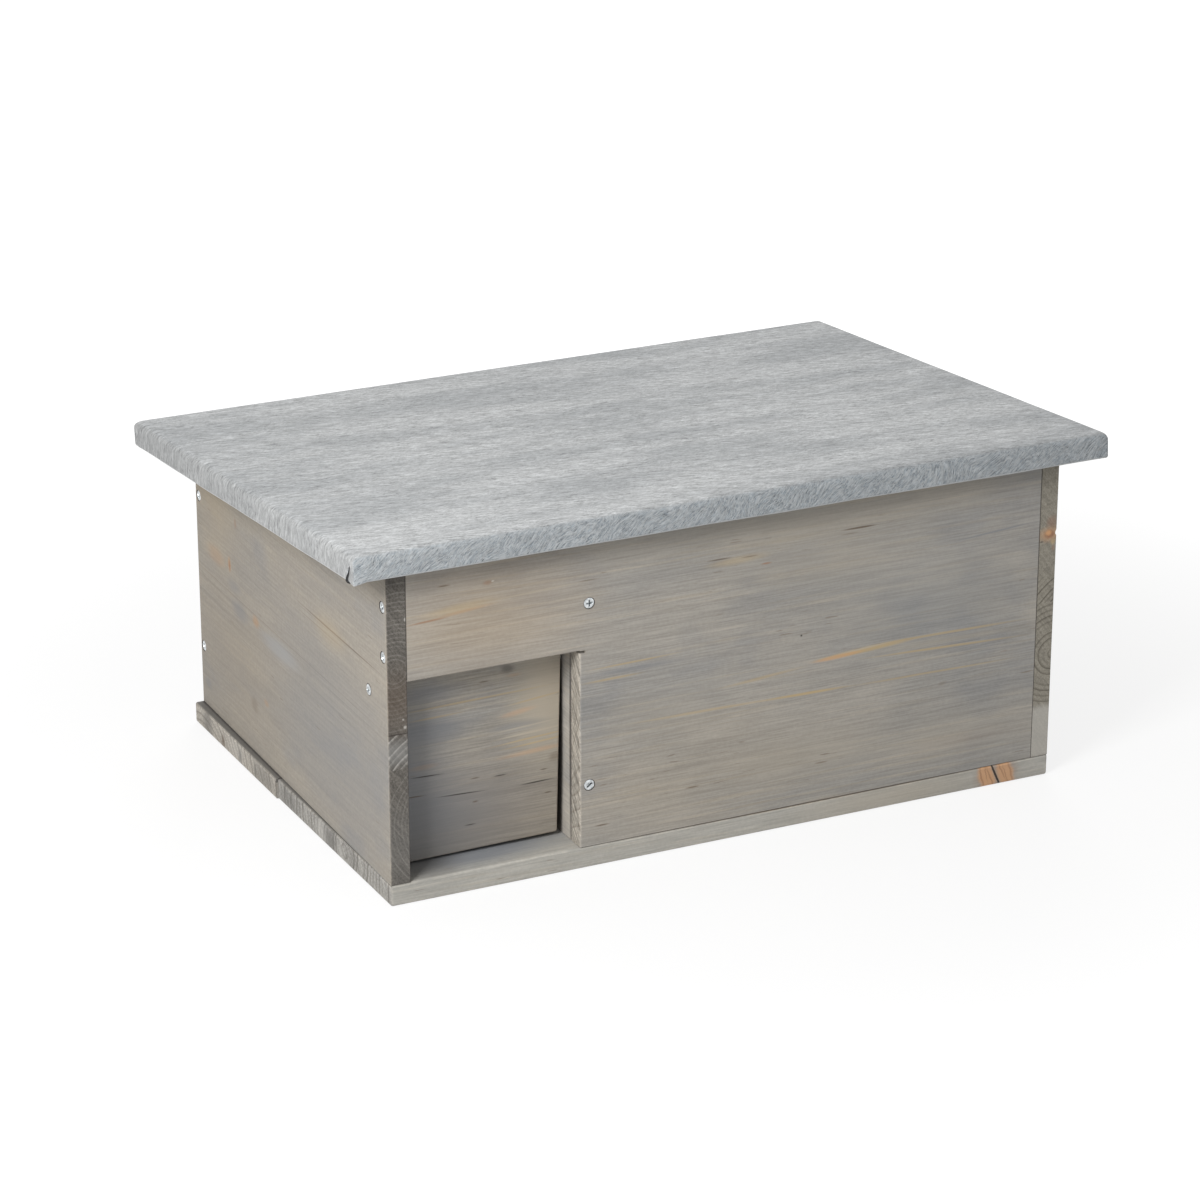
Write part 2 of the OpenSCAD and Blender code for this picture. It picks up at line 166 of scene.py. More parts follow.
class Graph:
    """Writes shader nodes into one node tree."""

    def __init__(self, tree: Tree, at: Socket | None = None) -> None:
        """Keeps the tree, and the coordinates in millimetres that its noises and groups take."""
        self.tree = tree
        self.at = at

    def add(self, kind: str, inputs: dict[str | int, Value] | None = None,
            **settings: object) -> Node:
        """Adds a node.

        Args:
            kind: The node's type name, without its ShaderNode prefix.
            inputs: What goes into its inputs, by their names or numbers.
            **settings: Properties to set on it first.

        Returns:
            The new node.
        """
        made = self.tree.nodes.new("ShaderNode" + kind)
        for name, value in settings.items():
            setattr(made, name, value)
        self.feed(made, inputs or {})
        return made

    def feed(self, node: Node, inputs: dict[str | int, Value]) -> None:
        """Links sockets to a node's inputs, and sets its plain inputs.

        Args:
            node: The node.
            inputs: What goes into its inputs, by their names or numbers.
        """
        for key, value in inputs.items():
            if isinstance(value, Socket):
                self.tree.links.new(value, node.inputs[key])
            else:
                node.inputs[key].default_value = value

    def math(self, operation: str, first: Value, second: Value = 0.0) -> Socket:
        """Result of a Math node on two values."""
        return self.add("Math", {0: first, 1: second}, operation=operation).outputs[0]

    def times(self, first: Value, second: Value) -> Socket:
        """Product of two values."""
        return self.math("MULTIPLY", first, second)

    def plus(self, first: Value, second: Value) -> Socket:
        """Sum of two values."""
        return self.math("ADD", first, second)

    def vector(self, operation: str, first: Value, second: Value) -> Socket:
        """Result of a Vector Math node on two vectors."""
        return self.add("VectorMath", {0: first, 1: second}, operation=operation).outputs[0]

    def scaled(self, vector: Value, factor: Value) -> Socket:
        """A vector times a number."""
        return self.add("VectorMath", {0: vector, "Scale": factor}, operation="SCALE").outputs[0]

    def length(self, vector: Value) -> Socket:
        """Length of a vector."""
        return self.add("VectorMath", {0: vector}, operation="LENGTH").outputs["Value"]

    def turned(self, vector: Value, axis: str, angle: Value) -> Socket:
        """A vector turned about one axis by an angle in radians."""
        inputs = {"Vector": vector, "Angle": angle}
        return self.add("VectorRotate", inputs, rotation_type=axis + "_AXIS").outputs[0]

    def split(self, vector: Value) -> Outputs:
        """The three parts of a vector."""
        return self.add("SeparateXYZ", {0: vector}).outputs

    def step(self, value: Value, low: Value, high: Value, to_low: float = 0.0,
             to_high: float = 1.0) -> Socket:
        """Adds a smooth step.

        Args:
            value: What is mapped.
            low: Where the step starts.
            high: Where the step ends.
            to_low: Result at its start.
            to_high: Result at its end.

        Returns:
            The mapped value.
        """
        inputs = dict(enumerate((value, low, high, to_low, to_high)))
        return self.add("MapRange", inputs, interpolation_type="SMOOTHSTEP").outputs[0]

    def swing(self, value: Value, span: Span, amount: float, middle: float = 1.0) -> Socket:
        """Maps a noise to values that swing by an amount to both sides of a middle."""
        return self.step(value, *span, middle - amount, middle + amount)

    def mix(self, factor: Value, first: Value, second: Value, blend: str = "MIX") -> Socket:
        """Mixes two colours.

        Args:
            factor: How much of the second one is taken.
            first: A socket, or the three values of a plain colour.
            second: The same for the other colour.
            blend: How they are blended.

        Returns:
            The mixed colour.
        """
        first, second = (item if isinstance(item, Socket) else (*item, 1.0) for item in (first, second))
        made = self.add("Mix", data_type="RGBA", blend_type=blend)
        self.feed(made, {0: factor, 6: first, 7: second})
        return made.outputs[2]

    def shaded(self, colour: Value, value: Value) -> Socket:
        """A colour times a value."""
        grey = self.add("CombineXYZ", {0: value, 1: value, 2: value}).outputs[0]
        return self.mix(1.0, colour, grey, "MULTIPLY")

    def noise(self, pattern: Pattern, at: Socket | None = None) -> Socket:
        """Value of a noise, round a half."""
        return self._noise(pattern, at or self.at).outputs[0]

    def sway(self, pattern: Pattern) -> Socket:
        """Vector of a noise, round zero."""
        return self.vector("SUBTRACT", self._noise(pattern, self.at).outputs[1], HALF)

    def _noise(self, pattern: Pattern, at: Socket) -> Node:
        """Adds a noise.

        Args:
            pattern: Its scale along each axis and its octaves.
            at: Its coordinates.

        Returns:
            The noise node.
        """
        shift = tuple(pattern.shift * part for part in SHIFT_WAY)
        inputs = {"Vector": at, "Scale": pattern.stretch, "Location": shift}
        placed = self.add("Mapping", inputs, vector_type="POINT").outputs[0]
        return self.add("TexNoise", {"Vector": placed, "Scale": 1.0, "Detail": pattern.detail,
                                     "Roughness": pattern.roughness})

    def millimetres(self) -> Socket:
        """Object coordinates in millimetres."""
        return self.scaled(self.add("TexCoord").outputs["Object"], 1.0 / MM)

    def bump(self, height: Value, strength: float, distance: float) -> Socket:
        """Normal of a surface with small heights on it."""
        return self.add("Bump", {"Height": height, "Strength": strength, "Distance": distance}).outputs[0]

    def use(self, group: Tree, **inputs: Value) -> Outputs:
        """Places a node group, whose inputs are named in lower case, and returns its outputs."""
        named = {name.title(): value for name, value in ({"vector": self.at} | inputs).items()}
        return self.add("Group", named, node_tree=group).outputs


class Effects:
    """The node groups that several materials share, each built once."""

    # Share of a year over which the latewood darkens, and the one where it ends
    late_rise = (0.35, 0.88)
    late_end = (0.9, 1.0)
    # Strength of the palest year
    pale_year = 0.35
    # Ranges of a noise, or of a normal for the end grain, over which an effect comes in
    tick_span = (0.71, 0.79)
    ticked_span = (0.47, 0.60)
    end_span = (0.55, 0.85)
    rubbed_span = (0.36, 0.62)
    saw_slant = math.radians(38)
    line_width = 0.09

    def __init__(self) -> None:
        """Builds all the groups."""
        self.rings = self._rings()
        self.figure = self._figure()
        self.mark = self._mark()
        self.end_grain = self._end_grain()
        self.edge_wear_and_shade = self._edge_wear_and_shade()
        self.strands = self._strands()
        self.mottle = self._mottle()

    @staticmethod
    def _group(name: str, inputs: dict[str, str], outputs: Sequence[str]
               ) -> tuple[Graph, dict[str, Socket], Callable[[str, Socket], None]]:
        """Starts a group.

        Args:
            name: The group's name.
            inputs: Kind of each input socket, by name.
            outputs: Names of the value outputs.

        Returns:
            A graph of the group, its inputs by name and a function that sets an output.
        """
        tree = bpy.data.node_groups.new(name, "ShaderNodeTree")
        for label, kind in inputs.items():
            tree.interface.new_socket(name=label, in_out="INPUT", socket_type="NodeSocket" + kind)
        for label in outputs:
            tree.interface.new_socket(name=label, in_out="OUTPUT", socket_type="NodeSocketFloat")
        entry = tree.nodes.new("NodeGroupInput")
        exit_node = tree.nodes.new("NodeGroupOutput")

        def put(label: str, socket: Socket) -> None:
            """Links a socket to one of the group's outputs."""
            tree.links.new(socket, exit_node.inputs[label])

        given = {label: entry.outputs[label] for label in inputs}
        return Graph(tree, given["Vector"]), given, put

    def _rings(self) -> Tree:
        """Growth rings round a pith that runs along X.

        Returns:
            The group, which puts out how much latewood there is.
        """
        inputs = {"Vector": "Vector", "Pith": "Vector", "Spacing": "Float", "Wander": "Float"}
        g, given, put = self._group("growth rings", inputs, ["Latewood"])
        away = g.vector("SUBTRACT", g.at, given["Pith"])
        bent = g.vector("ADD", away, g.scaled(g.sway(RING_SWAY), given["Wander"]))
        radius = g.length(g.vector("MULTIPLY", bent, (0.0, 1.0, 1.0)))
        years = g.math("DIVIDE", radius, given["Spacing"])
        season = g.math("FRACT", years)
        late = g.times(g.step(season, *self.late_rise), g.step(season, *self.late_end, 1.0, 0.0))
        year = g.add("TexWhiteNoise", noise_dimensions="1D")
        g.feed(year, {"W": g.math("FLOOR", years)})
        put("Latewood", g.times(late, g.step(year.outputs["Value"], 0.0, 1.0, self.pale_year, 1.0)))
        return g.tree

    def _figure(self) -> Tree:
        """Figure of a sawn face with its grain along X.

        Returns:
            The group, which puts out fibres, streaks, clouds and short dark resin ticks.
        """
        outputs = {"Fibre": FIBRES, "Streaks": STREAKS, "Clouds": CLOUDS}
        g, _, put = self._group("pine figure", {"Vector": "Vector"}, [*outputs, "Ticks"])
        for label, pattern in outputs.items():
            put(label, g.noise(pattern))
        short = g.step(g.noise(SHORT_TICKS), *self.tick_span)
        where = g.step(g.noise(TICKED_AREAS), *self.ticked_span)
        put("Ticks", g.times(short, where))
        return g.tree

    def _mark(self) -> Tree:
        """One lens-shaped place in the wood, leaning by an angle in the plane of X and Z.

        Returns:
            The group, which puts out the place's mask.
        """
        inputs = {"Vector": "Vector", "Sway": "Vector", "Fray": "Float", "Centre": "Vector",
                  "Size": "Vector", "Lean": "Float", "Softness": "Float"}
        g, given, put = self._group("wood mark", inputs, ["Mask"])
        at = g.vector("ADD", g.at, g.scaled(given["Sway"], given["Fray"]))
        turned = g.turned(g.vector("SUBTRACT", at, given["Centre"]), "Y", given["Lean"])
        reach = g.length(g.vector("DIVIDE", turned, given["Size"]))
        inner = g.math("SUBTRACT", 1.0, given["Softness"])
        put("Mask", g.step(g.times(reach, -1.0), -1.0, g.times(inner, -1.0)))
        return g.tree

    def _end_grain(self) -> Tree:
        """Ends of a board whose grain runs along X.

        Returns:
            The group, which puts out where the ends are, the saw's marks and the pores there.
        """
        inputs = {"Vector": "Vector", "Normal": "Vector"}
        g, given, put = self._group("end grain", inputs, ["Mask", "Saw", "Pores"])
        put("Mask", g.step(g.math("ABSOLUTE", g.split(given["Normal"])[0]), *self.end_span))
        put("Saw", g.noise(SAW_MARKS, g.turned(g.at, "X", self.saw_slant)))
        put("Pores", g.noise(PORES))
        return g.tree

    def _edge_wear_and_shade(self) -> Tree:
        """Wear along edges, which a mesh marks with 1 where they are free and -1 in joints and
        countersinks.

        Returns:
            The group, which puts out rubbed places on free edges, and dark in joints and countersinks:
            grime, and in the countersinks partly painted shade.
        """
        inputs = {"Vector": "Vector", "Edge": "Float"}
        g, given, put = self._group("edge wear and shade", inputs, ["Rubbed", "GrimeAndShade"])
        patches = g.step(g.noise(RUBBED_PATCHES), *self.rubbed_span)
        put("Rubbed", g.times(patches, g.math("MAXIMUM", given["Edge"], 0.0)))
        put("GrimeAndShade", g.math("MAXIMUM", g.times(given["Edge"], -1.0), 0.0))
        return g.tree

    def _strands(self) -> Tree:
        """Fibres of a fleece that run at one angle.

        Returns:
            The group, which puts out thin lines, and short dashes round a half.
        """
        inputs = {"Vector": "Vector", "Angle": "Float", "Shift": "Float"}
        g, given, put = self._group("fleece strands", inputs, ["Lines", "Dashes"])
        apart = g.add("CombineXYZ", {2: given["Shift"]}).outputs[0]
        moved = g.vector("ADD", g.turned(g.at, "Z", given["Angle"]), apart)
        off = g.math("ABSOLUTE", g.math("SUBTRACT", g.noise(STRAND_WAVES, moved), 0.5))
        put("Lines", g.step(off, 0.0, self.line_width, 1.0, 0.0))
        put("Dashes", g.noise(STRAND_DASHES, moved))
        return g.tree

    def _mottle(self) -> Tree:
        """Uneven patches of handling, dust and damp.

        Returns:
            The group, which puts out broad and fine patches.
        """
        g, _, put = self._group("mottle", {"Vector": "Vector"}, ["Broad", "Fine"])
        put("Broad", g.noise(BROAD_MOTTLE))
        put("Fine", g.noise(FINE_MOTTLE))
        return g.tree


@cache
def effects() -> Effects:
    """The shared node groups, built at the first call."""
    return Effects()


def new_material(name: str) -> tuple[Material, Graph, Node]:
    """Starts a material.

    Args:
        name: The material's name.

    Returns:
        The material, a graph of its nodes and its shader.
    """
    made = bpy.data.materials.new(name)
    made.use_nodes = True
    return made, Graph(made.node_tree), made.node_tree.nodes["Principled BSDF"]


@dataclass(frozen=True)
class Mark:
    """A streak, knot, crack or stain in a board, or a patch of painted shade or light, in millimetres on
    the board's marked face or its end.
    """

    along: float
    height: float
    half_length: float
    half_height: float
    tint: Tint
    strength: float
    lean: float = 0.0
    softness: float = 0.8
    depth: float | None = None
    half_depth: float = 5.0
    fray: float = 1.0
    end: bool = False


def on_face(*rows: tuple, **shared: float) -> list[Mark]:
    """Marks on a board's long faces, as rows of their first fields, with other fields that they share."""
    return [Mark(*row, **shared) for row in rows]


def on_end(*rows: tuple, **shared: float) -> list[Mark]:
    """The same on a board's ends, with depth and half depth as the last two of each row."""
    return [Mark(*row[:6], depth=row[6], half_depth=row[7], end=True, **shared) for row in rows]


@dataclass(frozen=True)
class Stave:
    """One of the pieces of timber that a board is glued up from, by the height where it starts."""

    start: float
    pith_depth: float
    pith_height: float
    spacing: float = 3.4
    wander: float = 9.0
    lines: float = 1.0


@dataclass(frozen=True)
class PineFinish:
    """Matt grey stain on pine, with what one board's timber shows through it, and on some boards painted
    shade and light.
    """

    name: str
    grain: Grain
    side: Side
    pale: Colour
    deep: Colour
    end_pale: Colour = (0.25, 0.235, 0.215)
    end_deep: Colour = (0.11, 0.10, 0.09)
    end_line: Colour = (0.09, 0.08, 0.07)
    end_lines: float = 0.6
    staves: tuple[Stave, ...] = (Stave(0.0, 40.0, 60.0),)
    marks: tuple[Mark, ...] = ()
    warmth: float = 0.14
    coolness: float = 0.30
    ring_depth: float = 0.07
    fibre: float = 0.15
    streak: float = 0.04
    speckle: float = 0.05
    saw: float = 0.28
    ticks: float = 0.62
    wear: float = 0.7
    rubbed_gain: Triple = (1.22, 1.2, 1.17)
    mark_sway: Triple = (7.0, 1.0, 0.9)
    cloud_span: Span = (0.33, 0.68)
    warm_span: Span = (0.52, 0.72)
    cool_span: Span = (0.5, 0.7)
    sheen_span: Span = (0.25, 0.75)
    roughness: Span = (0.62, 0.8)
    gloss: float = 0.28
    relief: float = 0.35
    relief_depth: float = 0.25 * MM
    fibre_relief: float = 0.5
    ring_relief: float = 0.25
    saw_relief: float = 1.2
    ring_thinness: float = 1.5

    def material(self, face_depth: float) -> Material:
        """Builds the board's material.

        Args:
            face_depth: Where the marked face lies across the board, in millimetres.

        Returns:
            The material.
        """
        made, g, shader = new_material(self.name)
        coords = g.add("TexCoord").outputs
        g.at = self._turned(g, coords["Object"], "POINT", 1.0 / MM)
        figure = g.use(effects().figure)
        mottle = g.use(effects().mottle)
        end = g.use(effects().end_grain, normal=self._turned(g, coords["Normal"], "VECTOR", 1.0))
        rings = self._latewood(g)
        face = self._marked(g, self._face_colour(g, figure, rings, mottle), face_depth)
        ticked = g.mix(g.times(figure["Ticks"], self.ticks), face, Tint.BROWN.value)
        sawn = self._marked(g, self._end_colour(g, end, rings), face_depth, at_end=True)
        wood = g.mix(end["Mask"], ticked, sawn)
        edge = g.add("Attribute", attribute_name=WEAR_AND_SHADE).outputs["Fac"]
        wear_and_shade = g.use(effects().edge_wear_and_shade, edge=edge)
        lighter = g.mix(1.0, wood, self.rubbed_gain, "MULTIPLY")
        rubbed = g.mix(g.times(wear_and_shade["Rubbed"], self.wear), wood, lighter)
        grooves = g.plus(g.times(rings, self.ring_relief), figure["Ticks"])
        height = g.math("SUBTRACT", g.times(figure["Fibre"], self.fibre_relief), grooves)
        rough = g.times(end["Saw"], g.times(end["Mask"], self.saw_relief))
        g.feed(shader, {
            # Soot-dark where faces are marked -1: grime in the joints, and in the countersinks round the
            # screws partly painted shade
            "Base Color": g.mix(g.times(wear_and_shade["GrimeAndShade"], self.wear), rubbed, Tint.SOOT.value),
            "Roughness": g.step(mottle["Fine"], *self.sheen_span, *self.roughness),
            "Specular IOR Level": self.gloss,
            "Normal": g.bump(g.plus(height, rough), self.relief, self.relief_depth)})
        return made

    def _turned(self, g: Graph, vector: Value, kind: str, scale: float) -> Socket:
        """Turns a vector so that X runs along the grain, and scales it."""
        inputs = {"Vector": vector, "Rotation": (0.0, 0.0, self.grain.value), "Scale": (scale,) * 3}
        return g.add("Mapping", inputs, vector_type=kind).outputs[0]

    def _latewood(self, g: Graph) -> Socket:
        """Joins the rings of the staves, each from its own starting height up.

        Args:
            g: Graph of the board's material.

        Returns:
            How much latewood there is.
        """
        height = g.split(g.at)[2]
        joined: Value = 0.0
        for stave in self.staves:
            pith = (0.0, stave.pith_depth, stave.pith_height)
            ring = g.use(effects().rings, pith=pith, spacing=stave.spacing, wander=stave.wander)
            above = g.math("GREATER_THAN", height, stave.start)
            kept = g.times(g.math("SUBTRACT", 1.0, above), joined)
            joined = g.plus(g.times(above, g.times(ring[0], stave.lines)), kept)
        return joined

    def _face_colour(self, g: Graph, figure: Outputs, rings: Value, mottle: Outputs) -> Socket:
        """Colour of the long faces: stain clouds, warm and cool streaks, rings and fibres.

        Args:
            g: Graph of the board's material.
            figure: Outputs of the pine figure.
            rings: How much latewood there is.
            mottle: Outputs of the mottle.

        Returns:
            The colour.
        """
        colour = g.mix(g.step(figure["Clouds"], *self.cloud_span), self.pale, self.deep)
        warm = g.step(figure["Streaks"], *self.warm_span, 0.0, self.warmth)
        cool = g.step(mottle["Broad"], *self.cool_span, 0.0, self.coolness)
        colour = g.mix(cool, g.mix(warm, colour, Tint.OCHRE.value), Tint.SLATE.value)
        colour = g.shaded(colour, g.math("SUBTRACT", 1.0, g.times(rings, self.ring_depth)))
        lined = g.swing(figure["Streaks"], CORE, self.streak)
        fibre = g.swing(figure["Fibre"], WIDE, self.fibre)
        dotted = g.swing(mottle["Fine"], WIDE, self.speckle)
        return g.shaded(colour, g.times(dotted, g.times(fibre, lined)))

    def _end_colour(self, g: Graph, end: Outputs, rings: Value) -> Socket:
        """Colour of the sawn ends: growth rings and the saw's slanted marks in a rough ground.

        Args:
            g: Graph of the board's material.
            end: Outputs of the end grain.
            rings: How much latewood there is.

        Returns:
            The colour.
        """
        ground = g.mix(g.step(end["Pores"], *CORE), self.end_deep, self.end_pale)
        thin = g.math("POWER", rings, self.ring_thinness)
        lined = g.mix(g.times(thin, self.end_lines), ground, self.end_line)
        return g.shaded(lined, g.swing(end["Saw"], CORE, self.saw))

    def _marked(self, g: Graph, colour: Value, face_depth: float, at_end: bool = False) -> Socket:
        """Lays the board's marks over a colour.

        Args:
            g: Graph of the board's material.
            colour: What they are laid over.
            face_depth: Where the marked face lies across the board.
            at_end: Whether the marks of the ends are laid, or those of the long faces.

        Returns:
            The colour with its marks.
        """
        sway = g.vector("MULTIPLY", g.sway(MARK_SWAY), self.mark_sway)
        for mark in (mark for mark in self.marks if mark.end == at_end):
            depth = face_depth if mark.depth is None else mark.depth
            spot = g.use(effects().mark, sway=sway, fray=mark.fray,
                         centre=(mark.along, depth, mark.height),
                         size=(mark.half_length, mark.half_depth, mark.half_height),
                         lean=math.radians(mark.lean), softness=mark.softness)
            colour = g.mix(g.times(spot[0], mark.strength), colour, mark.tint.value)
        return colour


@dataclass(frozen=True)
class StrandLayer:
    """Strands at one angle in degrees.

    Their strength is given on the roof's top, on its front and rear folds and on its flanks.
    """

    angle: float
    top: float
    fold: float
    flank: float
    fineness: float = 1.0


@dataclass(frozen=True)
class FeltFinish:
    """Grey roofing felt: a fleece of pale strands over a darker ground, with a black backing and painted
    shade on its folds and flanks.
    """

    pale: Colour = (0.465, 0.475, 0.479)
    deep: Colour = (0.32, 0.333, 0.342)
    # Darker tones for the front and rear folds and for the flanks, laid by the way a face points: painted
    # shade
    edge: Colour = (0.212, 0.245, 0.272)
    flank_shade_tone: Colour = (0.30, 0.302, 0.30)
    strand: Colour = (0.64, 0.65, 0.65)
    backing: Colour = (0.012, 0.012, 0.013)
    backing_gain: float = 2.2
    backing_roughness: Span = (0.7, 0.9)
    matting: float = 3.4
    fold_matting: float = 0.6
    fold_shade_share: float = 0.9
    flank_shade_share: float = 0.65
    rim_share: float = 0.85
    hem_share: float = 0.25
    clumps: float = 0.28
    fold_clumps: float = 0.30
    grain: float = 0.2
    curl: float = 22.0
    layer_shift: float = 9.0
    comb: float = math.radians(16)
    fold_span: Span = (0.35, 0.85)
    blotch_span: Span = (0.36, 0.66)
    rim_span: Span = (0.0, 0.45)
    hem_span: Span = (0.6, 0.95)
    roughness: Span = (0.78, 0.95)
    gloss: float = 0.15
    sheen: float = 0.12
    relief: float = 0.6
    relief_depth: float = 0.4 * MM
    layers: tuple[StrandLayer, ...] = (
        StrandLayer(3, 0.28, 0.05, 0.34), StrandLayer(34, 0.14, 0.54, 0.24, 1.6),
        StrandLayer(50, 0.12, 0.52, 0.14, 1.55), StrandLayer(72, 0.10, 0.22, 0.06, 1.2),
        StrandLayer(118, 0.14, 0.22, 0.10, 1.15), StrandLayer(160, 0.28, 0.05, 0.26))

    def material(self) -> Material:
        """Builds the felt's material on the sheet's flat coordinates.

        Returns:
            The material.
        """
        made, g, shader = new_material("roofing_felt")
        g.at = g.scaled(g.add("UVMap", uv_map=SHEET_UV).outputs[0], 1.0 / MM)
        lean = g.split(g.add("TexCoord").outputs["Normal"])
        fold = g.step(g.math("ABSOLUTE", lean[1]), *self.fold_span)
        flank = g.step(g.math("ABSOLUTE", lean[0]), *self.fold_span)
        down = g.times(lean[2], -1.0)
        rim = g.step(down, *self.rim_span, 0.0, self.rim_share)
        under = g.times(rim, g.step(down, *self.hem_span, 1.0, self.hem_share))
        tuft = g.noise(TUFTS, g.turned(g.at, "Z", self.comb))
        ground = g.mix(g.step(g.noise(BLOTCHES), *self.blotch_span), self.pale, self.deep)
        # Painted shade: the folds and flanks take darker tones by the way their faces point; their strands
        # are the felt's own
        side = g.mix(g.times(fold, self.fold_shade_share), ground, self.edge)
        side = g.mix(g.times(flank, self.flank_shade_share), side, self.flank_shade_tone)
        lines, dashes = self._fleece(g, fold, flank)
        clumps = g.swing(tuft, WIDE, self.clumps, 0.0)
        clumps = g.times(clumps, g.step(fold, 0.0, 1.0, 1.0, self.fold_clumps))
        grain = g.swing(g.noise(FELT_GRAIN), CORE, self.grain)
        matted = g.shaded(side, g.plus(g.plus(clumps, dashes), grain))
        height = g.plus(g.plus(dashes, lines), tuft)
        g.feed(shader, {
            "Base Color": g.mix(g.math("MAXIMUM", lines, under), matted, self.strand),
            "Roughness": g.step(tuft, *CORE, *self.roughness),
            "Specular IOR Level": self.gloss,
            "Sheen Weight": self.sheen,
            "Normal": g.bump(height, self.relief, self.relief_depth)})
        return made

    def _fleece(self, g: Graph, fold: Value, flank: Value) -> tuple[Socket, Socket]:
        """Lays the strands of all the layers over each other.

        Args:
            g: Graph of the felt's material.
            fold: One on the front and rear edges of the roof.
            flank: One on the left and right edges.

        Returns:
            How much of a light strand there is, and how much light or dark the matted fibres add.
        """
        bend = g.vector("MULTIPLY", g.sway(STRAND_CURL), (self.curl, self.curl, 0.0))
        curled = g.vector("ADD", g.at, bend)
        matting = g.step(fold, 0.0, 1.0, self.matting, self.fold_matting * self.matting)
        lines: Value = 0.0
        dashes: Value = 0.0
        for index, layer in enumerate(self.layers):
            made = g.use(effects().strands, vector=g.scaled(curled, layer.fineness),
                         angle=math.radians(-layer.angle), shift=self.layer_shift * index)
            edges = g.plus(g.times(fold, layer.fold - layer.top), g.times(flank, layer.flank - layer.top))
            weight = g.plus(edges, layer.top)
            lines = g.math("MAXIMUM", lines, g.times(made["Lines"], weight))
            part = g.times(g.math("SUBTRACT", made["Dashes"], 0.5), weight)
            dashes = g.plus(dashes, g.times(part, matting))
        return lines, dashes

    def backing_material(self) -> Material:
        """Builds the black underside of the felt.

        Returns:
            The material.
        """
        made, g, shader = new_material("felt_backing")
        fine = g.use(effects().mottle, vector=g.millimetres())["Fine"]
        greyer = tuple(self.backing_gain * part for part in self.backing)
        g.feed(shader, {"Base Color": g.mix(fine, self.backing, greyer),
                        "Roughness": g.step(fine, *CORE, *self.backing_roughness)})
        return made


@dataclass(frozen=True)
class ZincFinish:
    """Bright zinc plate on steel, a little dulled in patches."""

    name: str
    bright: Colour = (0.78, 0.81, 0.82)
    dull: Colour = (0.36, 0.38, 0.39)
    dull_span: Span = (0.35, 0.7)
    polish: float = 0.22
    haze: float = 0.2

    def material(self) -> Material:
        """Builds the plating's material.

        Returns:
            The material.
        """
        made, g, shader = new_material(self.name)
        fine = g.use(effects().mottle, vector=g.millimetres())["Fine"]
        g.feed(shader, {"Base Color": g.mix(g.step(fine, *self.dull_span), self.bright, self.dull),
                        "Roughness": g.step(fine, *CORE, self.polish, self.polish + self.haze),
                        "Metallic": 1.0})
        return made


def linked(name: str, data: bpy.types.ID) -> Piece:
    """Puts an object with some data into the scene.

    Args:
        name: The object's name.
        data: Its mesh, lamp or camera.

    Returns:
        The new object.
    """
    made = bpy.data.objects.new(name, data)
    bpy.context.scene.collection.objects.link(made)
    return made


def as_object(bm: Mesh, name: str, smooth_below: float | None = None) -> Piece:
    """Turns a bmesh into an object at the origin.

    Args:
        bm: The mesh, which is freed.
        name: The object's name.
        smooth_below: Angle in degrees under which edges are shaded smooth, or None for flat faces.

    Returns:
        The new object.
    """
    mesh = bpy.data.meshes.new(name)
    bm.to_mesh(mesh)
    bm.free()
    if smooth_below is not None:
        mesh.shade_smooth()
        mesh.set_sharp_from_angle(angle=math.radians(smooth_below))
    return linked(name, mesh)


def of_kind(items: Iterable[object], kind: type) -> list:
    """Those of an operator's results that are of one kind."""
    return [item for item in items if isinstance(item, kind)]


def prism(outline: Sequence[Sequence[float]], rise: Sequence[float]) -> Mesh:
    """Extrudes an outline.

    Args:
        outline: Corners of the outline, in order.
        rise: How far and where it is extruded.

    Returns:
        A closed bmesh.
    """
    bm = bmesh.new()
    face = bm.faces.new([bm.verts.new(point) for point in outline])
    grown = bmesh.ops.extrude_face_region(bm, geom=[face])
    bmesh.ops.translate(bm, verts=of_kind(grown["geom"], bmesh.types.BMVert), vec=rise)
    bmesh.ops.recalc_face_normals(bm, faces=bm.faces)
    return bm


def block(bm: Mesh, size: Sequence[float], middle: Sequence[float]) -> None:
    """Adds a box to a bmesh.

    Args:
        bm: The bmesh.
        size: Lengths of the box.
        middle: Where its middle is.
    """
    made = bmesh.ops.create_cube(bm, size=1.0)["verts"]
    bmesh.ops.scale(bm, verts=made, vec=size)
    bmesh.ops.translate(bm, verts=made, vec=middle)


def cut_plane(bm: Mesh, point: Sequence[float], normal: Sequence[float], drop: bool = False) -> list[Edge]:
    """Cuts a whole bmesh along a plane.

    Args:
        bm: The bmesh.
        point: A point of the plane.
        normal: The plane's normal.
        drop: Whether what lies beyond the plane is dropped.

    Returns:
        The edges along the cut.
    """
    whole = [*bm.verts, *bm.edges, *bm.faces]
    cut = bmesh.ops.bisect_plane(bm, geom=whole, dist=TOUCH, plane_co=point, plane_no=normal,
                                 clear_outer=drop)
    return of_kind(cut["geom_cut"], Edge)


def slice_top(bm: Mesh, point: Vector, normal: Vector) -> None:
    """Cuts off what lies beyond a plane and closes the cut.

    Args:
        bm: The board.
        point: A point of the plane.
        normal: The plane's normal.
    """
    bmesh.ops.contextual_create(bm, geom=cut_plane(bm, point, normal, drop=True))
    bmesh.ops.recalc_face_normals(bm, faces=bm.faces)


def round_edges(bm: Mesh, edges: Sequence[Edge], radius: float, segments: int) -> list[bmesh.types.BMFace]:
    """Rounds some edges.

    Args:
        bm: The mesh.
        edges: Its edges to round.
        radius: Radius of the rounding.
        segments: Faces across it.

    Returns:
        The new faces.
    """
    made = bmesh.ops.bevel(bm, geom=edges, offset=radius, offset_type="OFFSET", segments=segments,
                           profile=0.5, affect="EDGES", clamp_overlap=True, material=-1)
    return made["faces"]


